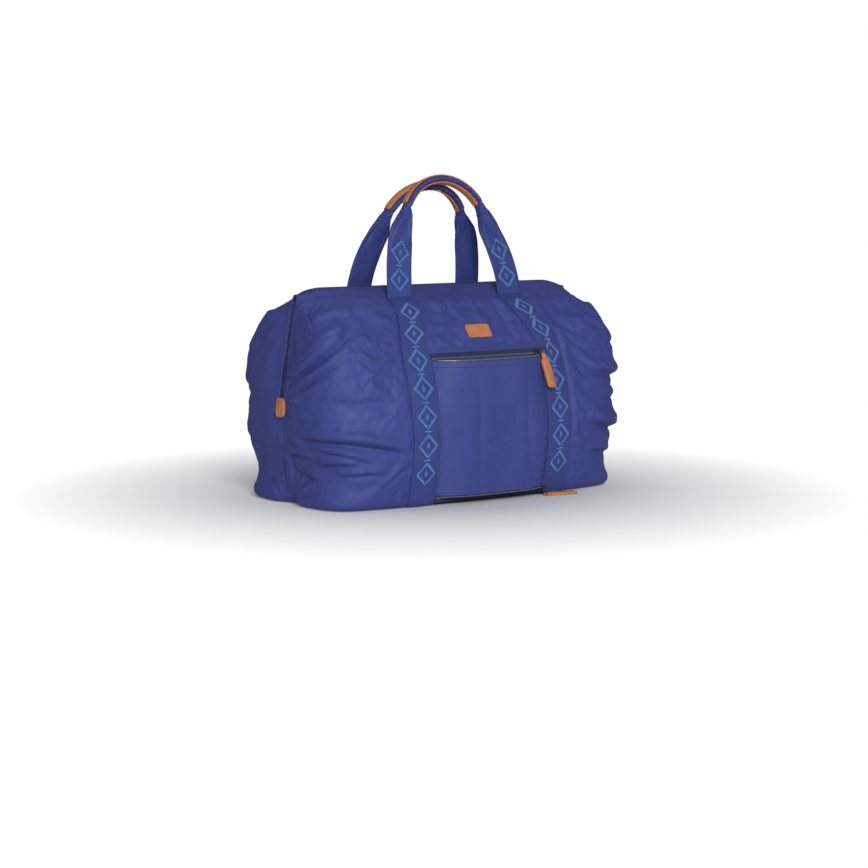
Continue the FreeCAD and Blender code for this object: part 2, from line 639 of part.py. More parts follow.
def band_wires(top):
    """Cross-sections of the band from the right foot over the arch to the left foot."""
    v, w, length = handle_frame(top)
    origin = Vec(0, exit_y, exit_z)
    radius = size("grip_radius")
    centre_v = length - radius - size("grip_core") / 2 - size("grip_leather") - size("joint_gap")
    half_angle = math.radians(size("grip_half_angle"))
    grip = (size("grip_core") / 2, size("grip_width") / 2)
    flat = (size("strap_width") / 2, size("band_wall") / 2)
    knee = Vec(radius * math.sin(half_angle), centre_v + radius * math.cos(half_angle), 0)
    foot = Vec(foot_x, -BAND_TAIL, 0)
    leg = knee - foot
    side = []
    # share of the way up the leg, bow outwards, share of the change from flat band to folded grip, tilt
    for share, folded, tilt in ((0.0, 0.0, 0.0), (0.12, 0.0, 0.25), (0.3, 0.02, 0.6), (0.5, 0.06, 0.85),
                                (0.68, 0.2, 0.95), (0.84, 0.55, 1.0)):
        point = foot + leg * share + Vec(5.0 * math.sin(math.pi * share), 0, 0)
        lean = math.atan2(foot.x - knee.x, knee.y - foot.y) * tilt
        normal = Vec(math.cos(lean), math.sin(lean), 0)
        side.append((point, normal, flat[0] + (grip[0] - flat[0]) * folded, flat[1] + (grip[1] - flat[1]) * folded))
    turns = 10
    for i in range(turns):
        angle = half_angle * (1 - i / turns)
        normal = Vec(math.sin(angle), math.cos(angle), 0)
        side.append((normal * radius + Vec(0, centre_v, 0), normal, grip[0], grip[1]))
    crown = (Vec(0, centre_v + radius, 0), Vec(0, 1, 0), grip[0], grip[1])
    mirrored = [(Vec(-p.x, p.y, 0), Vec(-n.x, n.y, 0), a, b) for p, n, a, b in reversed(side)]
    wires = []
    for point, normal, across, thick in side + [crown] + mirrored:
        centre = origin + X * point.x + v * point.y
        out = X * normal.x + v * normal.y
        ring = [centre + out * across + w * thick, centre + out * across - w * thick,
                centre - out * across - w * thick, centre - out * across + w * thick]
        wires.append(Part.makePolygon(ring + [ring[0]]))
    return wires


def grip_leather_shape(top, inner_radius):
    """Curved leather strip on the grip, from inner_radius outwards."""
    v, w, length = handle_frame(top)
    origin = Vec(0, exit_y, exit_z)
    radius = size("grip_radius")
    centre_v = length - radius - size("grip_core") / 2 - size("grip_leather") - size("joint_gap")
    centre = origin + v * centre_v - w * (size("grip_width") / 2)
    half_angle = math.radians(size("grip_half_angle")) * 0.96
    edges = []
    rims = (inner_radius, inner_radius + size("grip_leather"))
    ends = []
    for rim in rims:
        points = [centre + X * (rim * math.sin(a)) + v * (rim * math.cos(a)) for a in (-half_angle, 0.0, half_angle)]
        edges.append(Part.Arc(*points).toShape())
        ends.append((points[0], points[2]))
    wire = Part.Wire([edges[0], Part.makeLine(ends[0][1], ends[1][1]), edges[1],
                      Part.makeLine(ends[1][0], ends[0][0])])
    return Part.Face(wire).extrude(w * size("grip_width"))


tops = {"rear": size("handle_top"), "front": size("handle_top") - size("front_drop")}
for side, top in tops.items():
    band = Part.makeLoft(band_wires(top), True, True)
    core = size("grip_core") / 2 + size("joint_gap")
    over = grip_leather_shape(top, size("grip_radius") + core)
    under = grip_leather_shape(top, size("grip_radius") - core - size("grip_leather"))
    for name, shape in (("%s_handle_band" % side, band), ("%s_grip_upper" % side, over),
                        ("%s_grip_lower" % side, under)):
        fabric(name, shape, side)

# ---------------------------------------------------------------- check and write
doc.recompute()
for item in doc.Objects:
    if "Invalid" in item.State or "Error" in item.State:
        raise RuntimeError("failed object: " + item.Name + " " + str(item.State))
os.makedirs("parts", exist_ok=True)
for item in parts:
    shape = item.Shape
    if shape.isNull() or not shape.isValid() or shape.Volume <= 0:
        raise RuntimeError("bad shape: " + item.Label)
    shape.exportStep("parts/%s.step" % item.Label)
    print("%-28s solids %d volume %10.1f  %s" % (item.Label, len(shape.Solids), shape.Volume,
          [round(v, 1) for v in (shape.BoundBox.XMin, shape.BoundBox.YMin, shape.BoundBox.ZMin,
                                 shape.BoundBox.XMax, shape.BoundBox.YMax, shape.BoundBox.ZMax)]))
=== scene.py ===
"""Looks of a foldable travel tote: soft nylon shell, sewn straps, looped handles and leather trim."""

import math

import bmesh
import bpy
import numpy as np
from mathutils import Matrix, Vector, noise


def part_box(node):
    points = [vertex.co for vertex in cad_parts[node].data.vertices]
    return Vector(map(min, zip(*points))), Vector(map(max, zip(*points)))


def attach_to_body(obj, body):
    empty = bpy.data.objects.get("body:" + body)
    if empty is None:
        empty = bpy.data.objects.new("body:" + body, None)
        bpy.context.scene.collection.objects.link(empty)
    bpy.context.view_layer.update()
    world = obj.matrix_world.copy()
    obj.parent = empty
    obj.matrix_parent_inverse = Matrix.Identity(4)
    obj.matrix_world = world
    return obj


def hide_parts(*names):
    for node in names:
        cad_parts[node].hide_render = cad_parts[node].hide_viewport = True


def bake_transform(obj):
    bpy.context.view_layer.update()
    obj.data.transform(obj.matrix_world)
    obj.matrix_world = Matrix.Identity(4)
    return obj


bl_info = {
    "name": "Foldable Tote Bag",
    "version": (1, 0, 0),
    "blender": (4, 5, 0),
    "location": "3D View > Sidebar > Tote",
    "description": "Builds a padded nylon travel tote around its packed frame",
    "category": "Add Mesh",
}

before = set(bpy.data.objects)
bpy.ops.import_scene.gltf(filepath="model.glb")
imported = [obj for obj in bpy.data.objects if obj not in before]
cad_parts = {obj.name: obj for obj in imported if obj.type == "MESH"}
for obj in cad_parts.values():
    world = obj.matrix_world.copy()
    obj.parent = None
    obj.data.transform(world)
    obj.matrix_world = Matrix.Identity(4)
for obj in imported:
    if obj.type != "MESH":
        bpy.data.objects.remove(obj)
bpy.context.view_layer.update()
MM = 0.001


# ------------------------------------------------------------------ sizes and colours
def length(name, text, default):
    """A length in metres that a user can change."""
    return bpy.props.FloatProperty(name=name, description=text, default=default, min=0.0,
                                   subtype="DISTANCE", unit="LENGTH", precision=4)


def colour(name, text, default):
    """A colour that a user can change."""
    return bpy.props.FloatVectorProperty(name=name, description=text, default=default,
                                         min=0.0, max=1.0, size=3, subtype="COLOR")


class ToteSizes(bpy.types.PropertyGroup):
    """Sizes of the soft work."""
    fabric: length("Fabric", "Thickness of the nylon shell", 0.0012)
    puff: length("Puff", "How far the padded panels swell between their seams", 0.005)
    cap: length("Cap", "The furthest that a wrinkle may move off the sewing pattern", 0.0035)
    fold: length("Fold", "Height of the deepest fold", 0.008)
    strap: length("Strap", "Thickness of the sewn straps", 0.002)
    stitch: length("Stitch", "Pitch of the stitches", 0.0042)
    thread: length("Thread", "Radius of the sewing thread", 0.0004)
    ornament: length("Ornament", "Width of an embroidered stroke", 0.0054)
    tooth: length("Tooth", "Pitch of the zip teeth", 0.0021)
    grain: bpy.props.FloatProperty(name="Crinkle", description="Depth of the fine crinkle in the nylon",
                                   default=0.55, min=0.0, max=2.0)
    slack: bpy.props.FloatProperty(name="Slack", default=0.012, min=0.0, max=0.2,
                                   description="Share of spare cloth that gathers into wrinkles")


class ToteColours(bpy.types.PropertyGroup):
    """Colours of the cloth, leather and metal."""
    nylon: colour("Nylon", "Shell fabric", (0.047, 0.064, 0.262))
    strap: colour("Strap", "Sewn straps and handles", (0.041, 0.059, 0.235))
    thread: colour("Embroidery", "Raised embroidery", (0.055, 0.175, 0.56))
    stitching: colour("Stitching", "Sewing thread", (0.024, 0.032, 0.125))
    lining: colour("Lining", "Inside of the bag", (0.050, 0.056, 0.105))
    tape: colour("Zip tape", "Woven tape that carries the teeth", (0.040, 0.053, 0.205))
    teeth: colour("Zip teeth", "Moulded teeth", (0.30, 0.31, 0.34))
    crest_teeth: colour("Main zip teeth", "Teeth of the long main zip", (0.030, 0.042, 0.16))
    leather: colour("Leather", "Tabs, pulls, patch and grips", (0.56, 0.205, 0.085))
    metal: colour("Hardware", "Sliders and links", (0.17, 0.17, 0.185))
    floor: colour("Floor", "Ground under the bag", (0.90, 0.90, 0.90))


def sizes():
    return bpy.context.scene.tote_sizes


def colours():
    return bpy.context.scene.tote_colours


# ------------------------------------------------------------------ form of the filled bag, in millimetres
def smooth(share):
    share = np.clip(share, 0.0, 1.0)
    return share * share * (3.0 - 2.0 * share)


def curve_through(stations):
    """Monotone cubic through (height, value) stations."""
    heights, values = np.array(stations, float).T
    slopes = np.diff(values) / np.diff(heights)
    before, after = slopes[:-1], slopes[1:]
    both = np.where(before + after == 0, 1.0, before + after)
    inner = np.where(before * after <= 0, 0.0, 2.0 * before * after / both)
    tangents = np.concatenate(([slopes[0]], inner, [slopes[-1]]))

    def value_at(height):
        height = np.asarray(height, float)
        i = np.clip(np.searchsorted(heights, height) - 1, 0, len(slopes) - 1)
        span = heights[i + 1] - heights[i]
        q = (height - heights[i]) / span
        return ((2 * q ** 3 - 3 * q ** 2 + 1) * values[i] + (q ** 3 - 2 * q ** 2 + q) * span * tangents[i]
                + (3 * q ** 2 - 2 * q ** 3) * values[i + 1] + (q ** 3 - q ** 2) * span * tangents[i + 1])

    return value_at


BASE_HALF_LENGTH, BASE_HALF_DEPTH = 250.0, 131.0
CREST, TAB_TOP, CREST_HALF = 302.0, 152.0, 241.0
half_depth = curve_through([(0, BASE_HALF_DEPTH), (98, 147), (216, 120), (278, 72), (CREST, 22)])
half_length = curve_through([(0, BASE_HALF_LENGTH), (TAB_TOP, 272), (278, 251), (CREST, CREST_HALF)])
RECESS_Y, RECESS_HALF, RECESS_BLEND = 132.0, 52.0, 28.0
LIP_HALF, LIP_CLOSED = 5.0, 0.4
BASE_TURN = 12.0
SLEEVE_HALF, SLEEVE_LOW, SLEEVE_HIGH, SLEEVE_Y = 97.0, 14.6, 203.0, 155.2
FOLD_Z = 216.0
STRAP_HALF, STRAP_LOW, STRAP_HIGH, STRAP_LEAN = 21.5, 3.0, 290.0, 20.5
STRAP_OUTER = SLEEVE_HALF + 1.0 + 2 * STRAP_HALF


def corner_power(z):
    return 5.0 - 1.9 * np.minimum(1.0, np.asarray(z, float) / CREST)


def zip_line(z):
    return 265.0 - 24.0 * (z - TAB_TOP) / 150.0


def pinch(z):
    return np.where(z < TAB_TOP, 7.0 * smooth(z / TAB_TOP), half_length(z) - zip_line(z))


def lip_gap(z):
    """Half of the gap between the nylon lips over the main zip; wider where the slider parks."""
    wider = (LIP_HALF - LIP_CLOSED) * smooth((z - 128.0) / 22.0)
    return LIP_CLOSED + wider - 1.8 * smooth((z - 192.0) / 30.0)


def plain_depth(x, z):
    """Distance of the rear or front face from the middle plane."""
    power = corner_power(z)
    return half_depth(z) * (1.0 - np.minimum(0.999, np.abs(x) / half_length(z)) ** power) ** (1.0 / power)


def pressed_depth(x, z):
    """Distance of the rear face, with the flat that a trolley handle presses into it."""
    depth = plain_depth(x, z)
    over = np.maximum(depth - RECESS_Y, 0.0)
    return depth - over * (1.0 - smooth((np.abs(x) - RECESS_HALF) / RECESS_BLEND))


def sleeve_depth(x, z):
    """Distance of the sleeve, which stands off the rear face between its two seams."""
    face = plain_depth(x, z)
    return face + (SLEEVE_Y - face) * (1.0 - np.minimum(1.0, np.abs(x) / SLEEVE_HALF) ** 4)


def base_tuck(z):
    """How far the wall turns in where it meets the base."""
    below = np.maximum(0.0, BASE_TURN - z)
    return BASE_TURN - np.sqrt(np.maximum(0.0, BASE_TURN ** 2 - below ** 2))


def lift_off(surface, x, z, lift):
    """Points lifted off the rear face along its normal; x, z and lift are arrays of one shape."""
    step = 1.5
    y = surface(x, z)
    dx = (surface(x + step, z) - surface(x - step, z)) / (2 * step)
    dz = (surface(x, z + step) - surface(x, z - step)) / (2 * step)
    normal = np.stack([-dx, -np.ones_like(dx), -dz], -1)
    normal /= np.linalg.norm(normal, axis=-1, keepdims=True)
    return np.stack([x, -y, z], -1) + normal * np.asarray(lift)[..., None]


def strap_centre(z):
    """Distance of a strap's middle from the bag's middle, which leans in above the fold line."""
    lean = STRAP_LEAN * smooth((z - FOLD_Z) / (STRAP_HIGH - FOLD_Z))
    return SLEEVE_HALF + 1.0 + STRAP_HALF - lean


def strap_depth(x, z):
    return plain_depth(x, z) - base_tuck(z)


def facing(points, face):
    """Rear points turned half a turn about the upright for the front face."""
    return points if face == "rear" else points * np.array([-1.0, -1.0, 1.0])


# ------------------------------------------------------------------ mesh helpers
def quads(rows, columns, around=False):
    """Faces of a grid of points, row by row; around joins the last column to the first."""
    faces = []
    for r in range(rows - 1):
        for c in range(columns if around else columns - 1):
            d = (c + 1) % columns
            faces.append((r * columns + c, r * columns + d, (r + 1) * columns + d, (r + 1) * columns + c))
    return faces


def piece(name, points, faces, finish, uvs=None):
    """A smooth mesh object from points in millimetres."""
    mesh = bpy.data.meshes.new(name)
    mesh.from_pydata((np.asarray(points, float).reshape(-1, 3) * MM).tolist(), [], faces)
    if uvs is not None:
        layer = mesh.uv_layers.new(name="UVMap")
        flat = np.asarray(uvs, float).reshape(-1, 2)
        loops = np.empty(len(mesh.loops), np.int32)
        mesh.loops.foreach_get("vertex_index", loops)
        layer.data.foreach_set("uv", flat[loops].ravel())
    mesh.validate()
    obj = bpy.data.objects.new(name, mesh)
    bpy.context.scene.collection.objects.link(obj)
    mesh.materials.append(finish)
    mesh.polygons.foreach_set("use_smooth", [True] * len(mesh.polygons))
    return obj


def only(obj):
    """Makes obj the one selected and active object."""
    bpy.ops.object.select_all(action="DESELECT")
    obj.select_set(True)
    bpy.context.view_layer.objects.active = obj


def apply_modifiers(obj):
    """Works every modifier of obj into its mesh, in order."""
    only(obj)
    for modifier in list(obj.modifiers):
        bpy.ops.object.modifier_apply(modifier=modifier.name)


def thicken(obj, wall):
    """Gives a sheet of cloth its wall, in metres, inwards from its outer side."""
    solid = obj.modifiers.new("Wall", "SOLIDIFY")
    solid.thickness = wall
    solid.offset = -1.0
    solid.use_even_offset = False
    apply_modifiers(obj)


def closed_ring(rings, columns):
    """Faces of a closed sleeve of rings with its two ends filled."""
    faces = quads(rings, columns, around=True)
    faces.append(tuple(range(columns))[::-1])
    faces.append(tuple((rings - 1) * columns + c for c in range(columns)))
    return faces


def outward(obj):
    """Turns every face of a closed piece outwards."""
    only(obj)
    bpy.ops.object.mode_set(mode="EDIT")
    bpy.ops.mesh.select_all(action="SELECT")
    bpy.ops.mesh.normals_make_consistent(inside=False)
    bpy.ops.object.mode_set(mode="OBJECT")
    return obj


def frames_along(path, up):
    """Tangent, side and up vectors along a path of points."""
    tangent = np.gradient(path, axis=0)
    tangent /= np.linalg.norm(tangent, axis=1, keepdims=True)
    up = np.broadcast_to(up, path.shape)
    side = np.cross(tangent, up)
    side /= np.linalg.norm(side, axis=1, keepdims=True)
    return tangent, side, np.cross(side, tangent)


def run_along(path):
    """Distance along a path at each of its points."""
    return np.concatenate(([0.0], np.cumsum(np.linalg.norm(np.diff(path, axis=0), axis=1))))


def resample(path, extra, pitch):
    """Path and the arrays that go with it at even steps of about pitch, and that step."""
    run = run_along(path)
    count = max(2, int(round(run[-1] / pitch)) + 1)
    at = np.linspace(0.0, run[-1], count)

    def pick(values):
        return np.stack([np.interp(at, run, values[:, k]) for k in range(values.shape[1])], 1)

    return pick(path), [pick(values) for values in extra], run[-1] / (count - 1)


# ------------------------------------------------------------------ repeated small shapes
def scatter(name, template, faces, places, finish, smooth_faces=True):
    """One mesh with the template set at each place; a place is (origin, along, across, up)."""
    template = np.asarray(template, float)
    points, all_faces = [], []
    for i, (origin, along, across, up) in enumerate(places):
        points.append(origin + template[:, :1] * along + template[:, 1:2] * across + template[:, 2:3] * up)
        all_faces += [tuple(v + i * len(template) for v in f) for f in faces]
    obj = piece(name, np.concatenate(points), all_faces, finish)
    if not smooth_faces:
        obj.data.polygons.foreach_set("use_smooth", [False] * len(obj.data.polygons))
    return obj


# one stitch: place along it, height in radii and share of the radius
STITCH_RINGS = ((-0.5, -0.9, 0.35), (-0.36, 0.05, 0.9), (0.0, 0.35, 1.0), (0.36, 0.05, 0.9),
                (0.5, -0.9, 0.35))
STITCH_SIDES = 6


def stitch_shape(long, radius):
    """A short length of thread that dips into the cloth at both ends."""
    points = []
    for x, lift, grow in STITCH_RINGS:
        for k in range(STITCH_SIDES):
            a = 2 * math.pi * k / STITCH_SIDES
            across = math.cos(a) * radius * grow
            points.append((x * long, across, lift * radius + math.sin(a) * radius * grow))
    return points, closed_ring(len(STITCH_RINGS), STITCH_SIDES)


def stitches(name, lines, finish, body=None, pitch=None, bend=None):
    """Rows of stitches; a line is (points on the cloth, outward normals)."""
    pitch = pitch or sizes().stitch / MM
    radius = sizes().thread / MM
    template, faces = stitch_shape(pitch * 0.72, radius)
    places = []
    for path, normals in lines:
        path, (normals,), _ = resample(np.asarray(path, float), [np.asarray(normals, float)], pitch)
        normals = normals / np.linalg.norm(normals, axis=1, keepdims=True)
        tangent, side, up = frames_along(path, normals)
        places += list(zip(path, tangent, side, up))[1:-1]
    obj = scatter(name, template, faces, places, finish)
    attach(obj, body, bend)
    return obj


def attach(obj, body=None, bend=None):
    """Rides one body, or, when bend is given, has its place baked into its mesh."""
    if bend:
        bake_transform(obj)
    elif body:
        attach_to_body(obj, body)
    return obj


# ------------------------------------------------------------------ finishes
class Finish:
    """A node material built step by step."""

    def __init__(self, name):
        self.material = bpy.data.materials.get(name)
        self.ready = self.material is not None
        if self.ready:
            return
        self.material = bpy.data.materials.new(name)
        self.material.use_nodes = True
        self.tree = self.material.node_tree
        self.shader = self.tree.nodes["Principled BSDF"]
        self.place = self.node("ShaderNodeTexCoord").outputs["Object"]

    def node(self, kind, **settings):
        made = self.tree.nodes.new(kind)
        for key, value in settings.items():
            if hasattr(made, key):
                setattr(made, key, value)
            else:
                made.inputs[key.replace("_", " ")].default_value = value
        return made

    def link(self, source, target):
        self.tree.links.new(source, target)
        return target

    def set(self, **values):
        for key, value in values.items():
            self.shader.inputs[key.replace("_", " ")].default_value = value

    def noise(self, scale, detail=3.0, rough=0.55, stretch=None, distortion=0.0):
        made = self.node("ShaderNodeTexNoise", Scale=scale, Detail=detail, Roughness=rough,
                         Distortion=distortion)
        where = self.place
        if stretch:
            moved = self.node("ShaderNodeMapping")
            moved.inputs["Scale"].default_value = stretch
            self.link(where, moved.inputs["Vector"])
            where = moved.outputs[0]
        self.link(where, made.inputs["Vector"])
        return made.outputs["Fac"]

    def maths(self, operation, a, b=None):
        made = self.node("ShaderNodeMath", operation=operation)
        for i, value in enumerate((a, b)):
            if value is None:
                continue
            if isinstance(value, (int, float)):
                made.inputs[i].default_value = value
            else:
                self.link(value, made.inputs[i])
        return made.outputs[0]

    def ramp(self, source, stops):
        made = self.node("ShaderNodeValToRGB")
        elements = made.color_ramp.elements
        while len(elements) < len(stops):
            elements.new(0.5)
        for element, (at, tint) in zip(elements, stops):
            element.position = at
            element.color = (*tint, 1.0) if len(tint) == 3 else tint
        self.link(source, made.inputs["Fac"])
        return made.outputs["Color"]

    def map(self, source, low, high, to_low, to_high):
        made = self.node("ShaderNodeMapRange")
        for key, value in (("From Min", low), ("From Max", high), ("To Min", to_low), ("To Max", to_high)):
            made.inputs[key].default_value = value
        self.link(source, made.inputs["Value"])
        return made.outputs["Result"]

    def bump(self, height, distance, strength=1.0, under=None):
        made = self.node("ShaderNodeBump", Strength=strength, Distance=distance)
        self.link(height, made.inputs["Height"])
        if under is not None:
            self.link(under, made.inputs["Normal"])
        return made.outputs["Normal"]

    def finish(self, tint=None, rough=None, normal=None):
        for source, target in ((tint, "Base Color"), (rough, "Roughness"), (normal, "Normal")):
            if source is not None:
                self.link(source, self.shader.inputs[target])
        return self.material

    def weave(self, pitch):
        """Plain weave from two crossing waves: upright threads by x and y together, level threads by z."""
        parts = self.node("ShaderNodeSeparateXYZ")
        self.link(self.place, parts.inputs[0])
        turn = 2.0 * math.pi / pitch
        across = self.maths("ADD", parts.outputs[0], parts.outputs[1])
        warp = self.maths("SINE", self.maths("MULTIPLY", across, turn))
        weft = self.maths("SINE", self.maths("MULTIPLY", parts.outputs[2], turn))
        return self.maths("MULTIPLY", warp, weft)


def shade(tint, factor, shift=(1.0, 1.0, 1.0)):
    """A tint made lighter or darker by a factor, with its own shift for red, green and blue."""
    return tuple(min(1.0, c * factor * s) for c, s in zip(tint, shift))


def nylon_finish(name, tint, rough=0.58, crinkle=1.0, weave=0.00055):
    """Satin nylon: soft crinkle, fine plain weave, slight shift between blue and violet."""
    f = Finish(name)
    if f.ready:
        return f.material
    tint = tuple(tint)
    broad = f.noise(9.0, 3.0, 0.6)
    mottle = f.noise(60.0, 4.0, 0.6)
    mixed = f.maths("ADD", f.maths("MULTIPLY", broad, 0.65), f.maths("MULTIPLY", mottle, 0.35))
    base = f.ramp(mixed, [(0.32, shade(tint, 0.90, (1.04, 0.98, 0.98))), (0.5, tint),
                          (0.68, shade(tint, 1.10, (1.05, 1.0, 1.0)))])
    roughness = f.map(mottle, 0.3, 0.7, rough - 0.05, rough + 0.07)
    depth = sizes().grain * crinkle
    soft = f.bump(f.noise(26.0, 3.0, 0.55, distortion=0.6), 0.0042 * depth, 0.5)
    ripples = f.noise(95.0, 3.0, 0.6, stretch=(1.0, 1.0, 1.7), distortion=0.9)
    creased = f.bump(ripples, 0.0011 * depth, 0.5, soft)
    # crisp lines where the nylon has been crushed, in patches
    line = f.maths("ABSOLUTE", f.maths("SUBTRACT", f.noise(19.0, 3.0, 0.5, distortion=1.3), 0.5))
    patch = f.map(f.noise(7.0, 1.0), 0.44, 0.58, 0.0, 1.0)
    crushed = f.maths("MULTIPLY", f.map(line, 0.0, 0.05, 1.0, 0.0), patch)
    creased = f.bump(crushed, 0.0011 * depth, 0.6, creased)
    woven = f.bump(f.weave(weave), 0.00004, 0.6, creased)
    f.set(Specular_IOR_Level=0.30, Sheen_Weight=0.07, Sheen_Roughness=0.4)
    f.shader.inputs["Sheen Tint"].default_value = (*shade(tint, 3.0), 1.0)
    return f.finish(base, roughness, woven)


def thread_finish(name, tint):
    """Satin embroidery: threads lie across each stroke, with painted shade darkening its rims, by the piece's
    own map.
    """
    f = Finish(name)
    if f.ready:
        return f.material
    tint = tuple(tint)
    uv = f.node("ShaderNodeUVMap", uv_map="UVMap").outputs[0]
    parts = f.node("ShaderNodeSeparateXYZ")
    f.link(uv, parts.inputs[0])
    wobble = f.noise(220.0, 2.0, 0.5)
    thread_pitch = 0.55
    run = f.maths("ADD", f.maths("MULTIPLY", parts.outputs[0], 2 * math.pi / thread_pitch),
                  f.maths("MULTIPLY", wobble, 2.2))
    threads = f.maths("SINE", run)
    mixed = f.maths("ADD", f.maths("MULTIPLY", threads, 0.25), f.noise(140.0, 3.0))
    satin = f.ramp(mixed, [(0.25, shade(tint, 0.75)), (0.55, tint), (0.85, shade(tint, 1.3))])
    # painted shade: each stroke's rims are mixed towards a near-black blue, as if shaded beside the raised
    # crest
    painted_rim_shade = f.map(f.maths("ABSOLUTE", f.maths("SUBTRACT", parts.outputs[1], 0.5)), 0.18, 0.34, 0.0, 1.0)
    satin_and_rim_shade = f.node("ShaderNodeMix", data_type="RGBA")
    f.link(painted_rim_shade, satin_and_rim_shade.inputs[0])
    f.link(satin, satin_and_rim_shade.inputs[6])
    satin_and_rim_shade.inputs[7].default_value = (*shade(tint, 0.14), 1.0)
    base = satin_and_rim_shade.outputs[2]
    f.set(Roughness=0.36, Specular_IOR_Level=0.55, Sheen_Weight=0.2, Anisotropic=0.5)
    return f.finish(base, None, f.bump(threads, 0.00012, 0.8))


def sewing_finish(name, tint, lightest, rough, sheen):
    """Twisted sewing thread, from a darker to its lightest shade."""
    f = Finish(name)
    if f.ready:
        return f.material
    base = f.ramp(f.noise(900.0, 2.0), [(0.3, shade(tint, 0.8)), (0.7, shade(tint, lightest))])
    f.set(Roughness=rough, Sheen_Weight=sheen)
    return f.finish(base, None, f.bump(f.noise(2600.0, 2.0), 0.0001, 0.5))


def stitching_finish():
    return sewing_finish("stitching_thread", tuple(colours().stitching), 1.15, 0.5, 0.2)


def tan_thread_finish():
    return sewing_finish("leather_stitching", shade(tuple(colours().leather), 1.25), 1.0, 0.55, 0.0)


def leather_finish():
    """Smooth cognac leather with a fine pebble grain, soft mottling and darker pores."""
    f = Finish("cognac_leather")
    if f.ready:
        return f.material
    tint = tuple(colours().leather)
    mottle = f.noise(70.0, 4.0, 0.6)
    base = f.ramp(mottle, [(0.28, shade(tint, 0.84)), (0.5, tint),
                           (0.72, shade(tint, 1.12, (1.0, 1.05, 1.05)))])
    cells = f.node("ShaderNodeTexVoronoi", Scale=1150.0, feature="DISTANCE_TO_EDGE")
    f.link(f.place, cells.inputs["Vector"])
    pebble = f.map(cells.outputs["Distance"], 0.0, 0.25, 0.0, 1.0)
    grain = f.bump(pebble, 0.00011, 0.5)
    pores = f.bump(f.noise(2400.0, 2.0), 0.00006, 0.4, grain)
    roughness = f.map(f.noise(260.0), 0.3, 0.7, 0.40, 0.54)
    f.set(Specular_IOR_Level=0.45, Coat_Weight=0.06, Coat_Roughness=0.35)
    return f.finish(base, roughness, pores)


def tape_finish(name, tint):
    """Woven zip tape: fine ribs along its run."""
    f = Finish(name)
    if f.ready:
        return f.material
    tint = tuple(tint)
    ribs = f.weave(0.0011)
    base = f.ramp(f.maths("ADD", f.maths("MULTIPLY", ribs, 0.3), f.noise(300.0)),
                  [(0.25, shade(tint, 0.7)), (0.8, shade(tint, 1.3))])
    f.set(Roughness=0.72, Sheen_Weight=0.25)
    return f.finish(base, None, f.bump(ribs, 0.00015, 0.7))


def metal_finish(name, tint, metallic=1.0, rough=0.3):
    """Plated metal or moulded teeth with fine scuffs and slightly brighter worn spots."""
    f = Finish(name)
    if f.ready:
        return f.material
    tint = tuple(tint)
    wear = f.noise(500.0, 4.0, 0.65)
    base = f.ramp(wear, [(0.35, shade(tint, 0.82)), (0.6, tint), (0.75, shade(tint, 1.45))])
    roughness = f.map(f.noise(900.0, 3.0, 0.7), 0.3, 0.75, rough - 0.07, rough + 0.16)
    f.set(Metallic=metallic)
    return f.finish(base, roughness, f.bump(f.noise(1700.0, 3.0, stretch=(1.0, 1.0, 4.0)), 0.00004, 0.4))


def lining_finish():
    """Smooth polyester lining with a fine diagonal rib."""
    f = Finish("lining_cloth")
    if f.ready:
        return f.material
    tint = tuple(colours().lining)
    base = f.ramp(f.noise(25.0, 4.0), [(0.3, shade(tint, 0.85)), (0.7, shade(tint, 1.15))])
    soft = f.bump(f.noise(30.0, 3.0, distortion=0.5), 0.003, 0.5)
    f.set(Roughness=0.6, Sheen_Weight=0.15)
    return f.finish(base, None, f.bump(f.weave(0.0007), 0.00005, 0.5, soft))


def shell_nylon():
    return nylon_finish("shell_nylon", colours().nylon)


def strap_nylon():
    return nylon_finish("strap_nylon", colours().strap, rough=0.54, crinkle=0.55)


# ------------------------------------------------------------------ folds of the panels
def fold(s, z, start, end, height, width, bow=0.0):
    """One fold: a sharp valley with a full lip over it, tapering to nothing at both ends."""
    start, end = np.array(start, float), np.array(end, float)
    run = end - start
    long = np.hypot(*run)
    along = ((s - start[0]) * run[0] + (z - start[1]) * run[1]) / long ** 2
    off = ((z - start[1]) * run[0] - (s - start[0]) * run[1]) / long
    off = off - bow * np.sin(np.pi * np.clip(along, 0, 1))
    reach = np.sin(np.pi * np.clip(along, 0.0, 1.0)) ** 0.7
    lip = np.exp(-((off - 1.25 * width) / (1.1 * width)) ** 2)
    valley = np.exp(-np.abs(off / (0.45 * width)) ** 1.15)
    return height * reach * (0.75 * lip - 0.85 * valley)


def fan(s, z, centre, reach, toward, spread, count, height, seed):
    """Folds that radiate from a gathered point."""
    ds, dz = s - centre[0], z - centre[1]
    far = np.hypot(ds, dz)
    angle = np.degrees(np.arctan2(dz, ds)) - toward
    angle = (angle + 180.0) % 360.0 - 180.0
    wobble = np.sin(far / 17.0 + seed) * 3.5
    rays = np.cos(np.radians((angle + wobble) / spread * 180.0 * count) + seed)
    rays = np.sign(rays) * np.abs(rays) ** 1.3
    inside = smooth((spread - np.abs(angle)) / (0.35 * spread))
    return height * rays * inside * smooth(far / 22.0) * smooth((reach - far) / (0.75 * reach))


def crumple(points, pitch, seed):
    """Smooth noise in steps of pitch millimetres."""
    flat = points.reshape(-1, 3) / pitch
    shift = Vector((seed * 7.3, seed * 3.1, seed * 5.7))
    made = [noise.fractal(Vector(p) + shift, 0.9, 2.0, 3) for p in flat]
    return np.array(made).reshape(points.shape[:-1])


def creases(points, pitch, seed):
    """Thin crisp ridges, as crushed nylon keeps: between 0 and 1."""
    return np.clip(1.0 - 2.6 * np.abs(crumple(points, pitch, seed)), 0.0, 1.0) ** 2


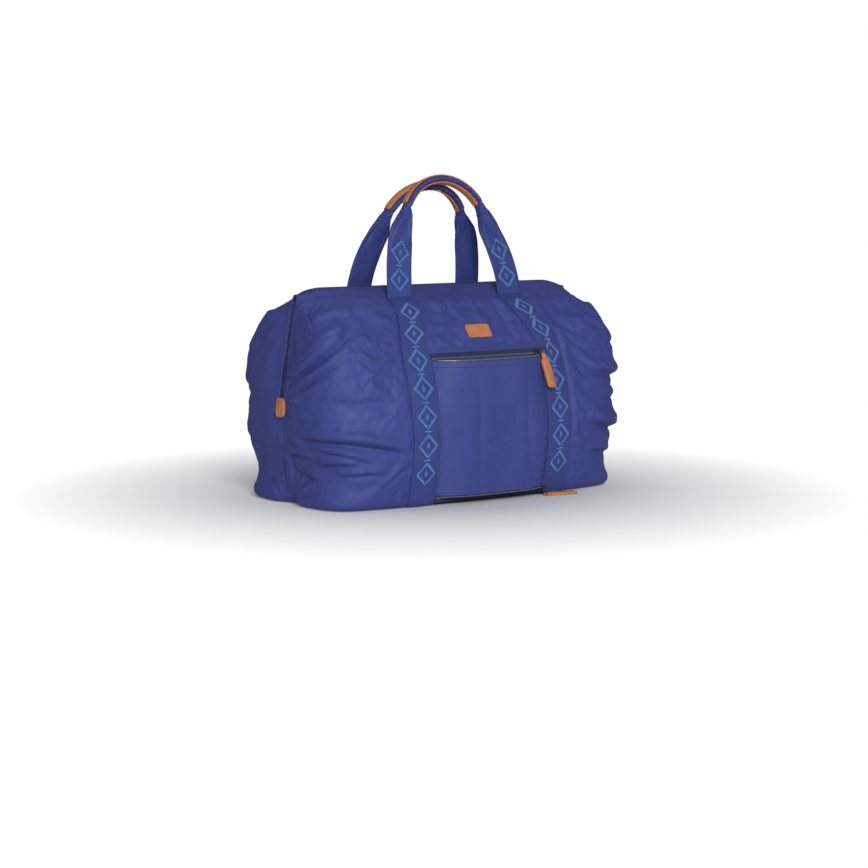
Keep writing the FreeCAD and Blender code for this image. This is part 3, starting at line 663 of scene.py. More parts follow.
REAR_LEFT_FOLDS = [
    # start and end as (distance round the bag from its middle, height), then height, width and bow
    ((-362, 172), (-214, 250), 1.45, 10.0, -9.0),
    ((-340, 158), (-236, 214), 0.8, 6.5, -5.0),
    ((-322, 150), (-262, 176), 0.4, 5.0, -2.0),
    ((-262, 262), (-196, 270), 0.35, 4.0, 2.0),
    ((-268, 236), (-214, 246), 0.3, 4.0, 2.0),
    ((-312, 206), (-262, 214), 0.35, 5.0, 2.0),
    ((-222, 214), (-200, 196), 0.35, 5.0, 2.0),
    ((-334, 96), (-150, 76), 1.15, 8.0, 8.0),
    ((-300, 84), (-206, 66), 0.55, 5.0, 4.0),
    ((-372, 70), (-300, 66), 0.7, 6.0, 4.0),
    ((-362, 90), (-322, 78), 0.5, 5.0, 3.0),
    ((-290, 58), (-226, 64), 0.6, 5.5, 3.0),
    ((-262, 46), (-180, 50), 0.4, 5.0, 3.0),
    ((-340, 44), (-280, 36), 0.45, 6.0, 3.0),
    ((-362, 124), (-300, 118), 0.35, 6.0, 3.0),
    ((-186, 30), (-146, 62), 0.3, 5.0, 3.0),
]
REAR_RIGHT_FOLDS = [
    ((168, 178), (384, 156), 1.1, 9.0, -4.0),
    ((176, 100), (384, 79), 1.5, 10.0, -5.0),
    ((226, 216), (300, 204), 0.4, 7.0, 3.0),
    ((196, 246), (252, 222), 0.4, 6.0, 3.0),
    ((206, 136), (300, 124), 0.45, 7.0, 3.0),
    ((176, 58), (260, 46), 0.5, 6.0, 3.0),
    ((262, 38), (318, 44), 0.3, 7.0, 3.0),
    ((162, 204), (196, 168), 0.3, 6.0, 3.0),
]
FANS = [
    # centre as (distance round the bag, height) on the left half, reach, heading, spread, count, height, seed
    ((-268, 296), 62.0, -78.0, 40.0, 3, 0.22, 0.4),
    ((-366, 150), 70.0, 10.0, 50.0, 3, 0.22, 1.9),
    ((-352, 4), 90.0, 40.0, 34.0, 3, 0.30, 2.7),
    ((-131, 6), 55.0, 120.0, 40.0, 3, 0.20, 0.9),
]


FRONT_CALM = 0.25
FAN_CALM = 0.4


def fold_field(s, z, face):
    """Sum of the folds at distance s round the bag and height z, as a share of the fold height."""
    field = np.zeros_like(s)
    calm = 1.0 if face == "rear" else FRONT_CALM
    for start, end, height, width, bow in REAR_LEFT_FOLDS:
        field += fold(s, z, start, end, height, width, bow)
    for start, end, height, width, bow in REAR_RIGHT_FOLDS:
        field += fold(s, z, start, end, calm * height, width, bow)
    for centre, reach, toward, spread, count, height, seed in FANS:
        field += fan(s, z, centre, reach, toward, spread, count, height, seed)
        field += fan(-s, z, centre, reach, toward, spread, count, FAN_CALM * height, seed + 1.3)
    # soft verticals above the sleeve, between the straps
    for centre, drift, height, width in ((-34, 8, 0.30, 9), (18, -10, -0.30, 11), (52, 6, 0.25, 8)):
        field += fold(s, z, (centre, 294), (centre + drift, 222), height, width, 2.0)
    return field


def crest_drop(x, z):
    """How far the crest rounds off towards its two ends."""
    return 9.0 * smooth((np.abs(x) - 196.0) / 48.0) ** 1.5 * smooth((z - 258.0) / 44.0)


UPRIGHT_CLOTH, HALF_GIRTH = 330.0, 770.0
# share of the way in from the crest's edge to the lip, and rise over the crest
LIP_ROWS = ((0.3, 1.2), (0.65, 2.4), (1.0, 3.0))


class Panel:
    """Sewing pattern of one half of the shell: plain points, arc place, and where it is held."""

    def __init__(self, face, step):
        self.face = face
        # rows of (height, tuck): two under the bag, some round the turn, and the upright wall
        under = [(0.5, 2 * BASE_TURN), (0.5, BASE_TURN)]
        curved = [BASE_TURN * (1 - math.cos(a)) + 0.5 for a in np.radians((25, 45, 65, 90))]
        upright = np.linspace(BASE_TURN + 0.5, CREST, int(round(UPRIGHT_CLOTH / step)))
        self.first_upright = len(under) + len(curved)
        rows = under + [(z, base_tuck(z)) for z in (*curved, *upright[1:])]
        self.columns = int(round(HALF_GIRTH / step)) // 2 * 2 + 1
        points, arcs = [], []
        for z, tuck in rows:
            row, arc = self.level(z, tuck)
            points.append(row)
            arcs.append(arc)
        crest = points[-1]
        for share, rise in LIP_ROWS:
            row = crest.copy()
            row[:, 1] = -(np.abs(row[:, 1]) * (1 - share) + float(lip_gap(CREST)) * share)
            row[:, 2] = CREST + rise
            points.append(row)
            arcs.append(arcs[-1])
        self.points = np.array(points)
        self.points[..., 2] -= crest_drop(self.points[..., 0], self.points[..., 2])
        self.arc = np.array(arcs)
        self.rows = len(points)
        self.normals = self.find_normals(self.points)

    def level(self, z, tuck):
        """One level of the outline from the left end to the right end."""
        power = float(corner_power(z))
        depth, long = float(half_depth(z)) - tuck, float(half_length(z)) - tuck
        knee = 2.0 ** (-1.0 / power)
        x1 = np.linspace(0.0, long * knee, 400)
        y1 = depth * (1 - (x1 / long) ** power) ** (1 / power)
        opening = float(lip_gap(z))
        y2 = np.linspace(depth * knee, opening, 400)[1:]
        x2 = long * (1 - (y2 / depth) ** power) ** (1 / power)
        x, y = np.concatenate((x1, x2)), np.concatenate((y1, y2))
        beyond = smooth((x - STRAP_OUTER) / 45.0) * smooth((y - 6.0) / 24.0)
        # full shoulders: the ends fill out towards a box below the crest
        boxed = max(power, 4.0 + 0.043 * (z - 150.0))
        fuller = ((x / (long + 1.0)) ** boxed + (y / depth) ** boxed) ** (-1.0 / boxed)
        shoulder = beyond * (1.0 - float(smooth((z - 275.0) / 12.0))) * float(smooth((z - 140.0) / 20.0))
        x, y = x * (1.0 + (fuller - 1.0) * shoulder), y * (1.0 + (fuller - 1.0) * shoulder)
        # the base corners flare and the wall above them draws in
        flare = beyond * math.exp(-(z / 24.0) ** 2)
        x, y = x + 12.0 * flare, y + 6.0 * flare * smooth((x - 175.0) / 50.0)
        x = x - float(pinch(z)) * np.exp(-(y / 26.0) ** 2)
        x = x + 2.2 * float(smooth((z - 128.0) / 22.0)) * np.exp(-(y / 12.0) ** 2)
        if self.face == "rear":
            over = np.maximum(y - RECESS_Y, 0.0)
            y = y - over * (1.0 - smooth((x - RECESS_HALF) / RECESS_BLEND))
        run = np.concatenate(([0.0], np.cumsum(np.hypot(np.diff(x), np.diff(y)))))
        at = np.linspace(0.0, run[-1], self.columns // 2 + 1)
        x, y = np.interp(at, run, x), np.interp(at, run, y)
        row = np.stack([np.concatenate((-x[::-1], x[1:])), -np.concatenate((y[::-1], y[1:])),
                        np.full(self.columns, z)], 1)
        return row, np.concatenate((-at[::-1], at[1:]))

    @staticmethod
    def find_normals(points):
        """Outward normals of a grid of rear points."""
        across = np.gradient(points, axis=1)
        upward = np.gradient(points, axis=0)
        normal = np.cross(across, upward)
        normal /= np.maximum(1e-9, np.linalg.norm(normal, axis=2, keepdims=True))
        return normal

    def held(self):
        """1 where the cloth is sewn down, falling to 0 on the free cloth."""
        x, z, arc = np.abs(self.points[..., 0]), self.points[..., 2], np.abs(self.arc)

        def near(gap, fade):
            return 1.0 - smooth(np.maximum(gap, 0.0) / fade)

        flat = arc < 200.0
        beside = near(np.abs(x - strap_centre(z)) - STRAP_HALF - 1.0, 9.0)
        hold = beside * flat * (z < STRAP_HIGH + 6) * near(z - STRAP_HIGH, 9.0)
        if self.face == "rear":
            behind = (x < SLEEVE_HALF + 6.0) & flat
            hold = np.maximum(hold, behind * near(z - SLEEVE_HIGH - 13.0, 10.0))
            patch = np.maximum(x - 22.0, np.abs(z - 241.5) - 12.0)
            hold = np.maximum(hold, near(patch, 10.0) * flat * 0.9)
        hold = np.maximum(hold, near(z - 5.0, 9.0))
        hold = np.maximum(hold, near(CREST - 7.0 - z, 9.0))
        edge = np.abs(self.points[..., 1])
        hold = np.maximum(hold, near(edge - lip_gap(z) - 2.5, 8.0))
        tab = np.maximum(edge - 11.0, np.abs(z - 138.5) - 14.0)
        return np.clip(np.maximum(hold, near(tab, 8.0)), 0.0, 1.0)

    def swell(self):
        """Broad swell of the stuffed panels, in millimetres."""
        arc, z = np.abs(self.arc), self.points[..., 2]
        end = np.abs(self.arc[:, -1])[:, None]
        side = np.clip((arc - STRAP_OUTER) / (end - STRAP_OUTER), 0.0, 1.0)
        rise = np.clip(z / CREST, 0.02, 0.98)
        lift = sizes().puff / MM * np.sin(np.pi * side ** 0.7) ** 0.8 * np.sin(np.pi * rise) ** 0.7
        lift = lift * (1.0 - 1.5 * smooth((side - 0.4) / 0.35))
        return lift - 5.0 * np.exp(-((z - 52.0) / 20.0) ** 2) * smooth((arc - 210.0) / 60.0)

    def folds(self):
        """Folds and crushed creases, in millimetres."""
        lift = sizes().fold / MM * fold_field(self.arc, self.points[..., 2], self.face)
        ends = smooth((np.abs(self.arc) - 285.0) / 45.0)
        lift = np.minimum(lift, 6.0 - 5.0 * ends)
        lift = lift + 1.2 * (1.0 - 0.6 * ends) * crumple(self.points, 60.0, 1.0)
        crushed = smooth((crumple(self.points, 95.0, 6.0) + 0.12) / 0.3) * (1.0 - 0.85 * ends)
        fine = 0.45 * crumple(self.points, 14.0, 2.0)
        crisp = 1.1 * creases(self.points, 46.0, 3.0) + 0.6 * creases(self.points, 24.0, 4.0)
        return lift + crushed * (fine + crisp)


DRAPE_STEPS = 20
TRIAL_STEP, FINE_STEP = 5.0, 2.6


def drape(obj, hold, plain):
    """Lets the panel relax as padded cloth held at its seams, and adds its wrinkles to the plain points."""
    group = obj.vertex_groups.new(name="held")
    for i, weight in enumerate(hold.ravel()):
        if weight > 0.02:
            group.add([i], float(weight), "REPLACE")
    cloth = obj.modifiers.new("Drape", "CLOTH")
    use = cloth.settings
    use.quality = 5
    use.mass = 0.25
    use.tension_stiffness = 18.0
    use.compression_stiffness = 18.0
    use.shear_stiffness = 6.0
    use.bending_stiffness = 0.12
    use.air_damping = 2.0
    use.vertex_group_mass = "held"
    use.pin_stiffness = 2.0
    use.shrink_min = -sizes().slack
    use.use_pressure = True
    use.uniform_pressure_force = 1.6
    use.effector_weights.gravity = 0.1
    cloth.collision_settings.use_collision = False
    cloth.point_cache.frame_start = 1
    cloth.point_cache.frame_end = DRAPE_STEPS
    for step in range(1, DRAPE_STEPS + 1):
        bpy.context.scene.frame_set(step)
    only(obj)
    bpy.ops.object.modifier_apply(modifier=cloth.name)
    bpy.context.scene.frame_set(1)
    moved = np.empty(len(obj.data.vertices) * 3)
    obj.data.vertices.foreach_get("co", moved)
    moved = moved.reshape(plain.shape) / MM
    gap = moved - plain
    # the wrinkles stay; the broad sag of the empty sheet goes, because the bag is full
    wrinkles = gap - blurred(gap, 4)
    far = np.linalg.norm(wrinkles, axis=-1, keepdims=True)
    cap = sizes().cap / MM * (1.0 - 0.85 * smooth((np.abs(plain[..., :1]) - 215.0) / 30.0))
    return plain + wrinkles * (cap * np.tanh(far / cap) / np.maximum(far, 1e-6))


def blurred(grid, reach):
    """Local mean over a square of grid places each side of a point."""
    span = 2 * reach + 1
    for axis in (0, 1):
        ends = [(reach + 1, reach) if k == axis else (0, 0) for k in range(3)]
        run = np.cumsum(np.pad(grid, ends, mode="edge"), axis=axis)
        count = grid.shape[axis]
        grid = (np.take(run, range(span, span + count), axis) - np.take(run, range(count), axis)) / span
    return grid


def relaxed(face):
    """How far the cloth of one half moves off its plain form: heights, shares of the row, and vectors."""
    panel = Panel(face, TRIAL_STEP)
    hold = panel.held()
    moved = panel.points + panel.normals * (panel.swell() * (1.0 - hold))[..., None]
    start = moved + panel.normals * (0.6 * panel.folds() * (1.0 - hold))[..., None]
    trial = piece("trial_" + face, facing(start, face), quads(panel.rows, panel.columns), shell_nylon())
    moved = facing(drape(trial, hold, facing(moved, face)), face)
    mesh = trial.data
    bpy.data.objects.remove(trial)
    bpy.data.meshes.remove(mesh)
    upright = slice(panel.first_upright, panel.rows - len(LIP_ROWS))
    shares = np.linspace(0.0, 1.0, panel.columns)
    return panel.points[upright, 0, 2], shares, (moved - panel.points)[upright]


SHAPED = {}


def shaped_panel(face):
    """Pattern, finished points and hold of one half of the shell, worked out once for all that need them."""
    if face not in SHAPED:
        heights, shares, moves = relaxed(face)
        panel = Panel(face, FINE_STEP)
        z = panel.points[:, 0, 2]
        row = np.interp(z, heights, np.arange(len(heights)))
        low = np.clip(np.floor(row).astype(int), 0, len(heights) - 2)
        part = np.clip(row - low, 0.0, 1.0)[:, None, None]
        mixed = moves[low] * (1.0 - part) + moves[low + 1] * part
        at = np.linspace(0.0, 1.0, panel.columns)
        fine = np.stack([[np.interp(at, shares, line[:, k]) for k in range(3)] for line in mixed])
        fine = fine.transpose(0, 2, 1)
        hold = panel.held()
        fine = fine * (1.0 - hold ** 4)[..., None]
        points = panel.points + fine + panel.normals * (panel.folds() * (1.0 - hold))[..., None]
        SHAPED[face] = (panel, points, hold)
    return SHAPED[face]


# ------------------------------------------------------------------ operators: soft goods
class TOTE_OT_shell(bpy.types.Operator):
    """Make the two halves of the padded nylon shell, from the base to the crest"""
    bl_idname = "tote.shell"
    bl_label = "Shell Panels"

    def execute(self, context):
        for face in ("rear", "front"):
            panel, points, _ = shaped_panel(face)
            faces = quads(panel.rows, panel.columns)
            obj = piece(face + "_panel", facing(points, face), faces, shell_nylon())
            thicken(obj, sizes().fabric)
            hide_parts(face + "_panel_lower", face + "_panel_upper")
            attach(obj, bend=("shell", face + "_mouth"))
        return {"FINISHED"}


class TOTE_OT_lining(bpy.types.Operator):
    """Make the lining that hangs inside the shell, and the lining of the base"""
    bl_idname = "tote.lining"
    bl_label = "Lining"

    def execute(self, context):
        for face in ("rear", "front"):
            panel, _, hold = shaped_panel(face)
            rows = list(range(6, panel.rows - 5, 4)) + [panel.rows - 5]
            columns = list(range(0, panel.columns - 2, 4)) + [panel.columns - 1]
            sewn, loose, lowest, wall = 2.8, 12.0, 4.2, 0.7
            inset = sewn * hold + (loose - panel.swell()) * (1.0 - hold)
            inner = (panel.points - panel.normals * inset[..., None])[np.ix_(rows, columns)]
            inner[..., 2] = np.maximum(inner[..., 2], lowest)
            faces = quads(len(rows), len(columns))
            obj = piece(face + "_lining", facing(inner, face), faces, lining_finish())
            thicken(obj, wall * MM)
            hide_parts(face + "_lining_lower", face + "_lining_upper")
            attach(obj, bend=("shell", face + "_mouth"))
        obj = base_sheet("base_lining_cloth", 22.0, 4.0, 0.8, lining_finish(), 0.8)
        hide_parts("base_lining")
        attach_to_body(obj, "shell")
        return {"FINISHED"}


def base_sheet(name, inset, high, wall, finish, crown):
    """A flat sheet in the outline of the base, slightly quilted."""
    rings, around = 16, 96
    angles = np.linspace(0, 2 * np.pi, around, endpoint=False)
    power = float(corner_power(0.0))
    points = []
    for r in range(rings + 1):
        share = max(r / rings, 0.02)
        c, s = np.cos(angles), np.sin(angles)
        x = (BASE_HALF_LENGTH - inset) * share * np.sign(c) * np.abs(c) ** (2 / power)
        y = (BASE_HALF_DEPTH - inset) * share * np.sign(s) * np.abs(s) ** (2 / power)
        wave = crown * np.sin(x / 31.0) * np.sin(y / 27.0) * (1 - share ** 4)
        points.append(np.stack([x, y, np.full(around, high) + wave], 1))
    faces = quads(rings + 1, around, around=True)
    faces.append(tuple(range(around))[::-1])
    obj = piece(name, np.array(points), [f[::-1] for f in faces], finish)
    solid = obj.modifiers.new("Wall", "SOLIDIFY")
    solid.thickness = wall * MM
    solid.offset = -1.0
    apply_modifiers(obj)
    return outward(obj)


class TOTE_OT_base(bpy.types.Operator):
    """Make the base panel, a slightly quilted sheet under the bag"""
    bl_idname = "tote.base"
    bl_label = "Base Panel"

    def execute(self, context):
        obj = base_sheet("base_cloth", 16.0, 1.9, 1.2, shell_nylon(), 0.25)
        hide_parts("base_panel")
        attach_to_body(obj, "shell")
        return {"FINISHED"}


def strap_line():
    """Heights along a strap's middle line, and the distance from its foot at each."""
    heights = np.linspace(STRAP_LOW, STRAP_HIGH, 240)
    centre = lift_off(strap_depth, strap_centre(heights), heights, np.zeros_like(heights))
    return heights, run_along(centre)


def strap_points(sign, run, across, lift):
    """Points of a sewn strap: run in millimetres from its foot, across from edge to edge."""
    heights, far = strap_line()
    z = np.interp(run, far, heights)
    x = strap_centre(z) + across
    made = lift_off(strap_depth, x, z, lift)
    if sign < 0:
        made = made * np.array([-1.0, 1.0, 1.0])
    return made


STRAP_GAP = 0.35
EDGE_ROW = STRAP_HALF - 3.2


def strap_lift(across, run, sign):
    """Height of the strap's outer side: a hair of a crown, and channels under the edge stitches."""
    edge = np.abs(across) / STRAP_HALF
    crown = 0.35 * (1.0 - edge ** 2)
    channel = -0.45 * np.exp(-((np.abs(across) - EDGE_ROW) / 0.9) ** 2)
    ripple = 0.22 * np.sin(run / 9.0 + 2.0 * sign) * edge ** 2 + 0.15 * np.sin(run / 23.0 + across / 6.0)
    return STRAP_GAP + sizes().strap / MM + crown + channel + ripple


class TOTE_OT_straps(bpy.types.Operator):
    """Make the four sewn straps with their edge stitching and raised ornament"""
    bl_idname = "tote.straps"
    bl_label = "Straps"

    def execute(self, context):
        whole = float(strap_line()[1][-1])
        half = STRAP_HALF
        across = np.concatenate(([-half, -half - 0.4, -half - 0.3], np.linspace(0.6 - half, 5.5 - half, 9),
                                 np.linspace(8.0 - half, half - 8.0, 13),
                                 np.linspace(half - 5.5, half - 0.6, 9), [half + 0.3, half + 0.4, half]))
        rise = np.concatenate(([0.0, 0.35, 0.8], np.ones(31), [0.8, 0.35, 0.0]))
        run = np.linspace(0.0, whole, 150)
        u, v = np.meshgrid(across, run)
        for face in ("rear", "front"):
            for hand, sign in (("left", -1), ("right", 1)):
                name = f"{face}_strap_{hand}"
                low = STRAP_GAP * 0.4
                top = low + (strap_lift(u, v, sign) - low) * rise[None, :]
                edge_wave = 0.35 * np.sin(v / 14.0 + sign) * (np.abs(u) / STRAP_HALF) ** 4 * np.sign(u)
                outer = strap_points(sign, v, u + edge_wave, top)
                inner = strap_points(sign, v, u[:, ::-1], np.full_like(u, 0.1))
                ring = np.concatenate((outer, inner), axis=1)
                obj = piece(name, facing(ring, face), closed_ring(*ring.shape[:2]), strap_nylon())
                outward(obj)
                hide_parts(name + "_lower", name + "_upper")
                attach(obj, bend=("shell", face + "_mouth"))
                self.dress(name, face, sign, run)
        return {"FINISHED"}

    @staticmethod
    def dress(name, face, sign, run):
        """Edge stitching and ornament of one strap."""
        lines = []
        for edge in (-EDGE_ROW, EDGE_ROW):
            at = np.full_like(run, edge)
            line = strap_points(sign, run, at, strap_lift(edge, run, sign) + 0.1)
            up = line - strap_points(sign, run, at, np.zeros_like(run))
            lines.append((facing(line, face), facing(up, face)))
        stitches(name + "_stitches", lines, stitching_finish(), bend=("shell", face + "_mouth"))

        def on_strap(path_run, path_across, lift):
            base = strap_lift(path_across, path_run, sign) - 0.15
            return strap_points(sign, path_run, path_across, base + lift)

        motif = ornament(name + "_embroidery", 16.0, run[-1] - 6.0, on_strap, face)
        attach(motif, bend=("shell", face + "_mouth"))


# ------------------------------------------------------------------ embroidery
# a satin stroke's section: shares of its width and of its height
STROKE_SECTION = ((-0.5, -0.35), (-0.46, 0.35), (-0.24, 0.85), (0.0, 1.0), (0.24, 0.85), (0.46, 0.35),
                  (0.5, -0.35))
STROKE_HIGH = 1.6
LOZENGE_PITCH, LOZENGE_LONG, LOZENGE_WIDE = 40.0, 31.0, 29.0


def stroke(path, width, high):
    """A raised satin stroke over a path of (run, across) points: rings of (run, across, lift)."""
    path = np.asarray(path, float)
    closed = np.allclose(path[0], path[-1])
    run = run_along(path)
    step = np.linspace(0.0, run[-1], max(4, int(run[-1] / 2.4)))
    step = np.sort(np.concatenate((step, run[1:-1] - 0.01, run[1:-1] + 0.01)))
    points = np.stack([np.interp(step, run, path[:, k]) for k in range(2)], 1)
    tangent = np.gradient(points, axis=0)
    if closed:
        tangent[0] = tangent[-1] = points[1] - points[0] + points[-1] - points[-2]
    tangent /= np.maximum(1e-9, np.linalg.norm(tangent, axis=1, keepdims=True))
    side = np.stack([-tangent[:, 1], tangent[:, 0]], 1)
    taper = np.ones(len(step))
    if not closed:
        taper = np.minimum(1.0, np.minimum(step, run[-1] - step) / (0.5 * width) * 0.8 + 0.25)
    rings = []
    for at, lift in STROKE_SECTION:
        offset = side * (at * width * taper)[:, None]
        rings.append(np.concatenate([points + offset, (lift * high * np.sqrt(taper))[:, None]], 1))
    return np.stack(rings, 1), step


def lozenge(centre, long, wide):
    s, a = centre
    return [(s - long / 2, a), (s, a + wide / 2), (s + long / 2, a), (s, a - wide / 2), (s - long / 2, a)]


def ornament_paths(low, high):
    """A plain chain of open lozenges, each with a small seed in it and a bar before the next."""
    count = int((high - low) // LOZENGE_PITCH)
    start = low + ((high - low) - count * LOZENGE_PITCH) / 2 + LOZENGE_PITCH / 2
    seed, bar = 5.0, 7.0
    paths = []
    for i in range(count):
        middle = start + i * LOZENGE_PITCH
        paths.append((lozenge((middle, 0.0), LOZENGE_LONG, LOZENGE_WIDE), 1.0))
        paths.append(([(middle - seed, 0.0), (middle + seed, 0.0)], 1.35))
        if i < count - 1:
            between = middle + LOZENGE_PITCH / 2
            paths.append(([(between, -bar), (between, bar)], 0.8))
    return paths


def ornament(name, low, high, place, face):
    """The embroidered chain laid on a strap or handle by its place function."""
    width = sizes().ornament / MM
    points, faces, uvs = [], [], []
    for path, scale in ornament_paths(low, high):
        rings, step = stroke(path, width * scale, STROKE_HIGH)
        count, around = rings.shape[:2]
        base = sum(len(p) for p in points)
        share = np.linspace(0, 1, around)
        made = place(rings[..., 0], rings[..., 1], rings[..., 2])
        points.append(facing(made, face).reshape(-1, 3))
        uvs.append(np.stack(np.broadcast_arrays(step[:, None], share[None, :]), -1).reshape(-1, 2))
        for f in closed_ring(count, around):
            faces.append(tuple(v + base for v in f))
    obj = piece(name, np.concatenate(points), faces, thread_finish("embroidery", colours().thread),
                uvs=np.concatenate(uvs))
    outward(obj)
    return obj


# ------------------------------------------------------------------ handles
EXIT_Y, EXIT_Z, FOOT_X = 52.293, 291.8, 99.0
ARC_RADIUS, ARC_HALF = 74.0, math.radians(62.0)
GRIP_OFFSET = 5.1
NECK_WIDTH, LEG_THICK, NECK_THICK = 4.0, 1.3, 9.9
HANDLE_TOPS = {"rear": 463.0, "front": 454.0}
TOP_LEAN = 12.5
# share of the leg from its foot, and how far it is gathered and turned there
GATHERED = ((0.0, 0.4, 0.6, 0.76, 0.9, 1.0), (0.0, 0.02, 0.07, 0.22, 0.66, 1.0))
TURNED = ((0.0, 0.12, 0.3, 0.5, 0.7, 1.0), (0.0, 0.25, 0.6, 0.85, 0.97, 1.0))


class Loop:
    """Centre line and cross-sections of one handle, from the right foot over the arch to the left foot."""

    def __init__(self, face):
        rise, lean = HANDLE_TOPS[face] - EXIT_Z, EXIT_Y - TOP_LEAN
        self.long = math.hypot(rise, lean)
        self.origin = np.array([0.0, -EXIT_Y, EXIT_Z])
        self.v = np.array([0.0, lean, rise]) / self.long
        self.w = np.array([0.0, -self.v[2], self.v[1]])
        self.centre_v = self.long - ARC_RADIUS - 6.2
        knee = np.array([ARC_RADIUS * math.sin(ARC_HALF), self.centre_v + ARC_RADIUS * math.cos(ARC_HALF)])
        foot = np.array([FOOT_X, -2.0])
        side, fold_share, tilt = [], [], []
        for share in np.linspace(0.0, 1.0, 60)[:-1]:
            bulge = 7.0 * math.sin(math.pi * share ** 0.9)
            side.append(foot + (knee - foot) * share + np.array([bulge, 0.0]))
            fold_share.append(np.interp(share, *GATHERED))
            tilt.append(np.interp(share, *TURNED))
        for angle in np.linspace(ARC_HALF, 0.0, 34):
            high = self.centre_v + ARC_RADIUS * math.cos(angle)
            side.append(np.array([ARC_RADIUS * math.sin(angle), high]))
            fold_share.append(1.0)
            tilt.append(1.0)
        side, fold_share, tilt = np.array(side), np.array(fold_share), np.array(tilt)
        line = np.concatenate((side, side[-2::-1] * np.array([-1.0, 1.0])))
        folded = np.concatenate((fold_share, fold_share[-2::-1]))
        run = run_along(line)
        self.total = run[-1]
        self.run = np.linspace(0.0, self.total, 240)
        self.line = np.stack([np.interp(self.run, run, line[:, k]) for k in range(2)], 1)
        self.folded = np.interp(self.run, run, folded)
        tangent = np.gradient(self.line, axis=0)
        tangent /= np.linalg.norm(tangent, axis=1, keepdims=True)
        normal = np.stack([tangent[:, 1], -tangent[:, 0]], 1)
        flat = np.sign(self.line[:, :1] + 1e-9) * np.array([[1.0, 0.0]])
        weight = np.concatenate((tilt, tilt[-2::-1]))
        weight = np.interp(self.run, run, weight)[:, None]
        lean_dir = flat * (1 - weight) + normal * weight
        self.out = lean_dir / np.linalg.norm(lean_dir, axis=1, keepdims=True)

    def at(self, run):
        """Centre of the band, and its direction across, at a distance along it."""
        x = np.interp(run, self.run, self.line[:, 0])
        v = np.interp(run, self.run, self.line[:, 1])
        ox = np.interp(run, self.run, self.out[:, 0])
        ov = np.interp(run, self.run, self.out[:, 1])
        centre = self.origin + x[..., None] * np.array([1.0, 0, 0]) + v[..., None] * self.v
        out = ox[..., None] * np.array([1.0, 0, 0]) + ov[..., None] * self.v
        return centre, out / np.linalg.norm(out, axis=-1, keepdims=True)

    def widths(self, run):
        """Half width, half thickness and gathered share of the band, which thins at its feet."""
        folded = np.interp(run, self.run, self.folded)
        foot = 0.5 * (1.0 - smooth(np.minimum(run, self.total - run) / 14.0))
        wide = STRAP_HALF + (NECK_WIDTH - STRAP_HALF) * folded
        thick = LEG_THICK + (NECK_THICK - LEG_THICK) * folded - foot
        return wide, thick, folded

    def bow(self, run, across):
        """Lift of the leg's outer face: soft cupping low down, pleats where it is gathered."""
        wide, _, folded = self.widths(run)
        share = across / wide
        low = np.minimum(run, self.total - run)
        cup = 2.2 * np.sin(np.clip(low / 70.0, 0, 1) * np.pi) * (share ** 2 - 0.4)
        gather = smooth((low - 55.0) / 50.0) * (1.0 - smooth((folded - 0.6) / 0.4))
        pleats = 2.6 * gather * np.cos(share * np.pi * 3.2 + low / 15.0)
        return cup + pleats


def band_section(loop, run):
    """Ring of the band at each run: flat leg, gathered neck, puckered grip."""
    around = 44
    angles = np.linspace(0.0, 2 * np.pi, around, endpoint=False)
    centre, out = loop.at(run)
    wide, thick, folded = loop.widths(run)
    power = 5.0 - 2.6 * folded
    c, s = np.cos(angles)[None, :], np.sin(angles)[None, :]
    across = np.sign(c) * np.abs(c) ** (2 / power[:, None]) * wide[:, None]
    deep = np.sign(s) * np.abs(s) ** (2 / power[:, None]) * thick[:, None]
    grid_run = np.broadcast_to(run[:, None], across.shape)
    lift = loop.bow(grid_run, across)
    grip = smooth((folded - 0.75) / 0.25)[:, None]
    jog = 2.2 * np.sin(grid_run * 0.37) + 1.3 * np.sin(grid_run * 0.91 + 1.0)
    puckers = np.abs(np.sin((grid_run + jog + 3.0 * np.sign(deep)) * np.pi / 8.6)) ** 0.6 - 0.6
    deep = deep * (1.0 + 0.42 * grip * puckers * np.abs(s) ** 0.8)
    small = 0.8 * smooth((folded - 0.1) / 0.5)[:, None] * np.sin(grid_run / 2.1 + across * 0.8)
    small = small * np.abs(s) * (1 - grip)
    points = centre[:, None, :] + out[:, None, :] * across[..., None]
    return points + loop.w * (deep + lift * (1 - grip) + small)[..., None]


# shares of the grip's half width and of its wall, round its section, with a stitched groove near each edge
GROOVE = 0.78
GRIP_SECTION = ((-1.0, -0.5), (-1.0, 0.25), (-0.95, 0.48), (-0.84, 0.56), (-GROOVE, 0.44), (-0.72, 0.6),
                (-0.4, 0.72), (0.0, 0.78), (0.4, 0.72), (0.72, 0.6), (GROOVE, 0.44), (0.84, 0.56),
                (0.95, 0.48), (1.0, 0.25), (1.0, -0.5), (0.6, -0.5), (0.0, -0.5), (-0.6, -0.5))


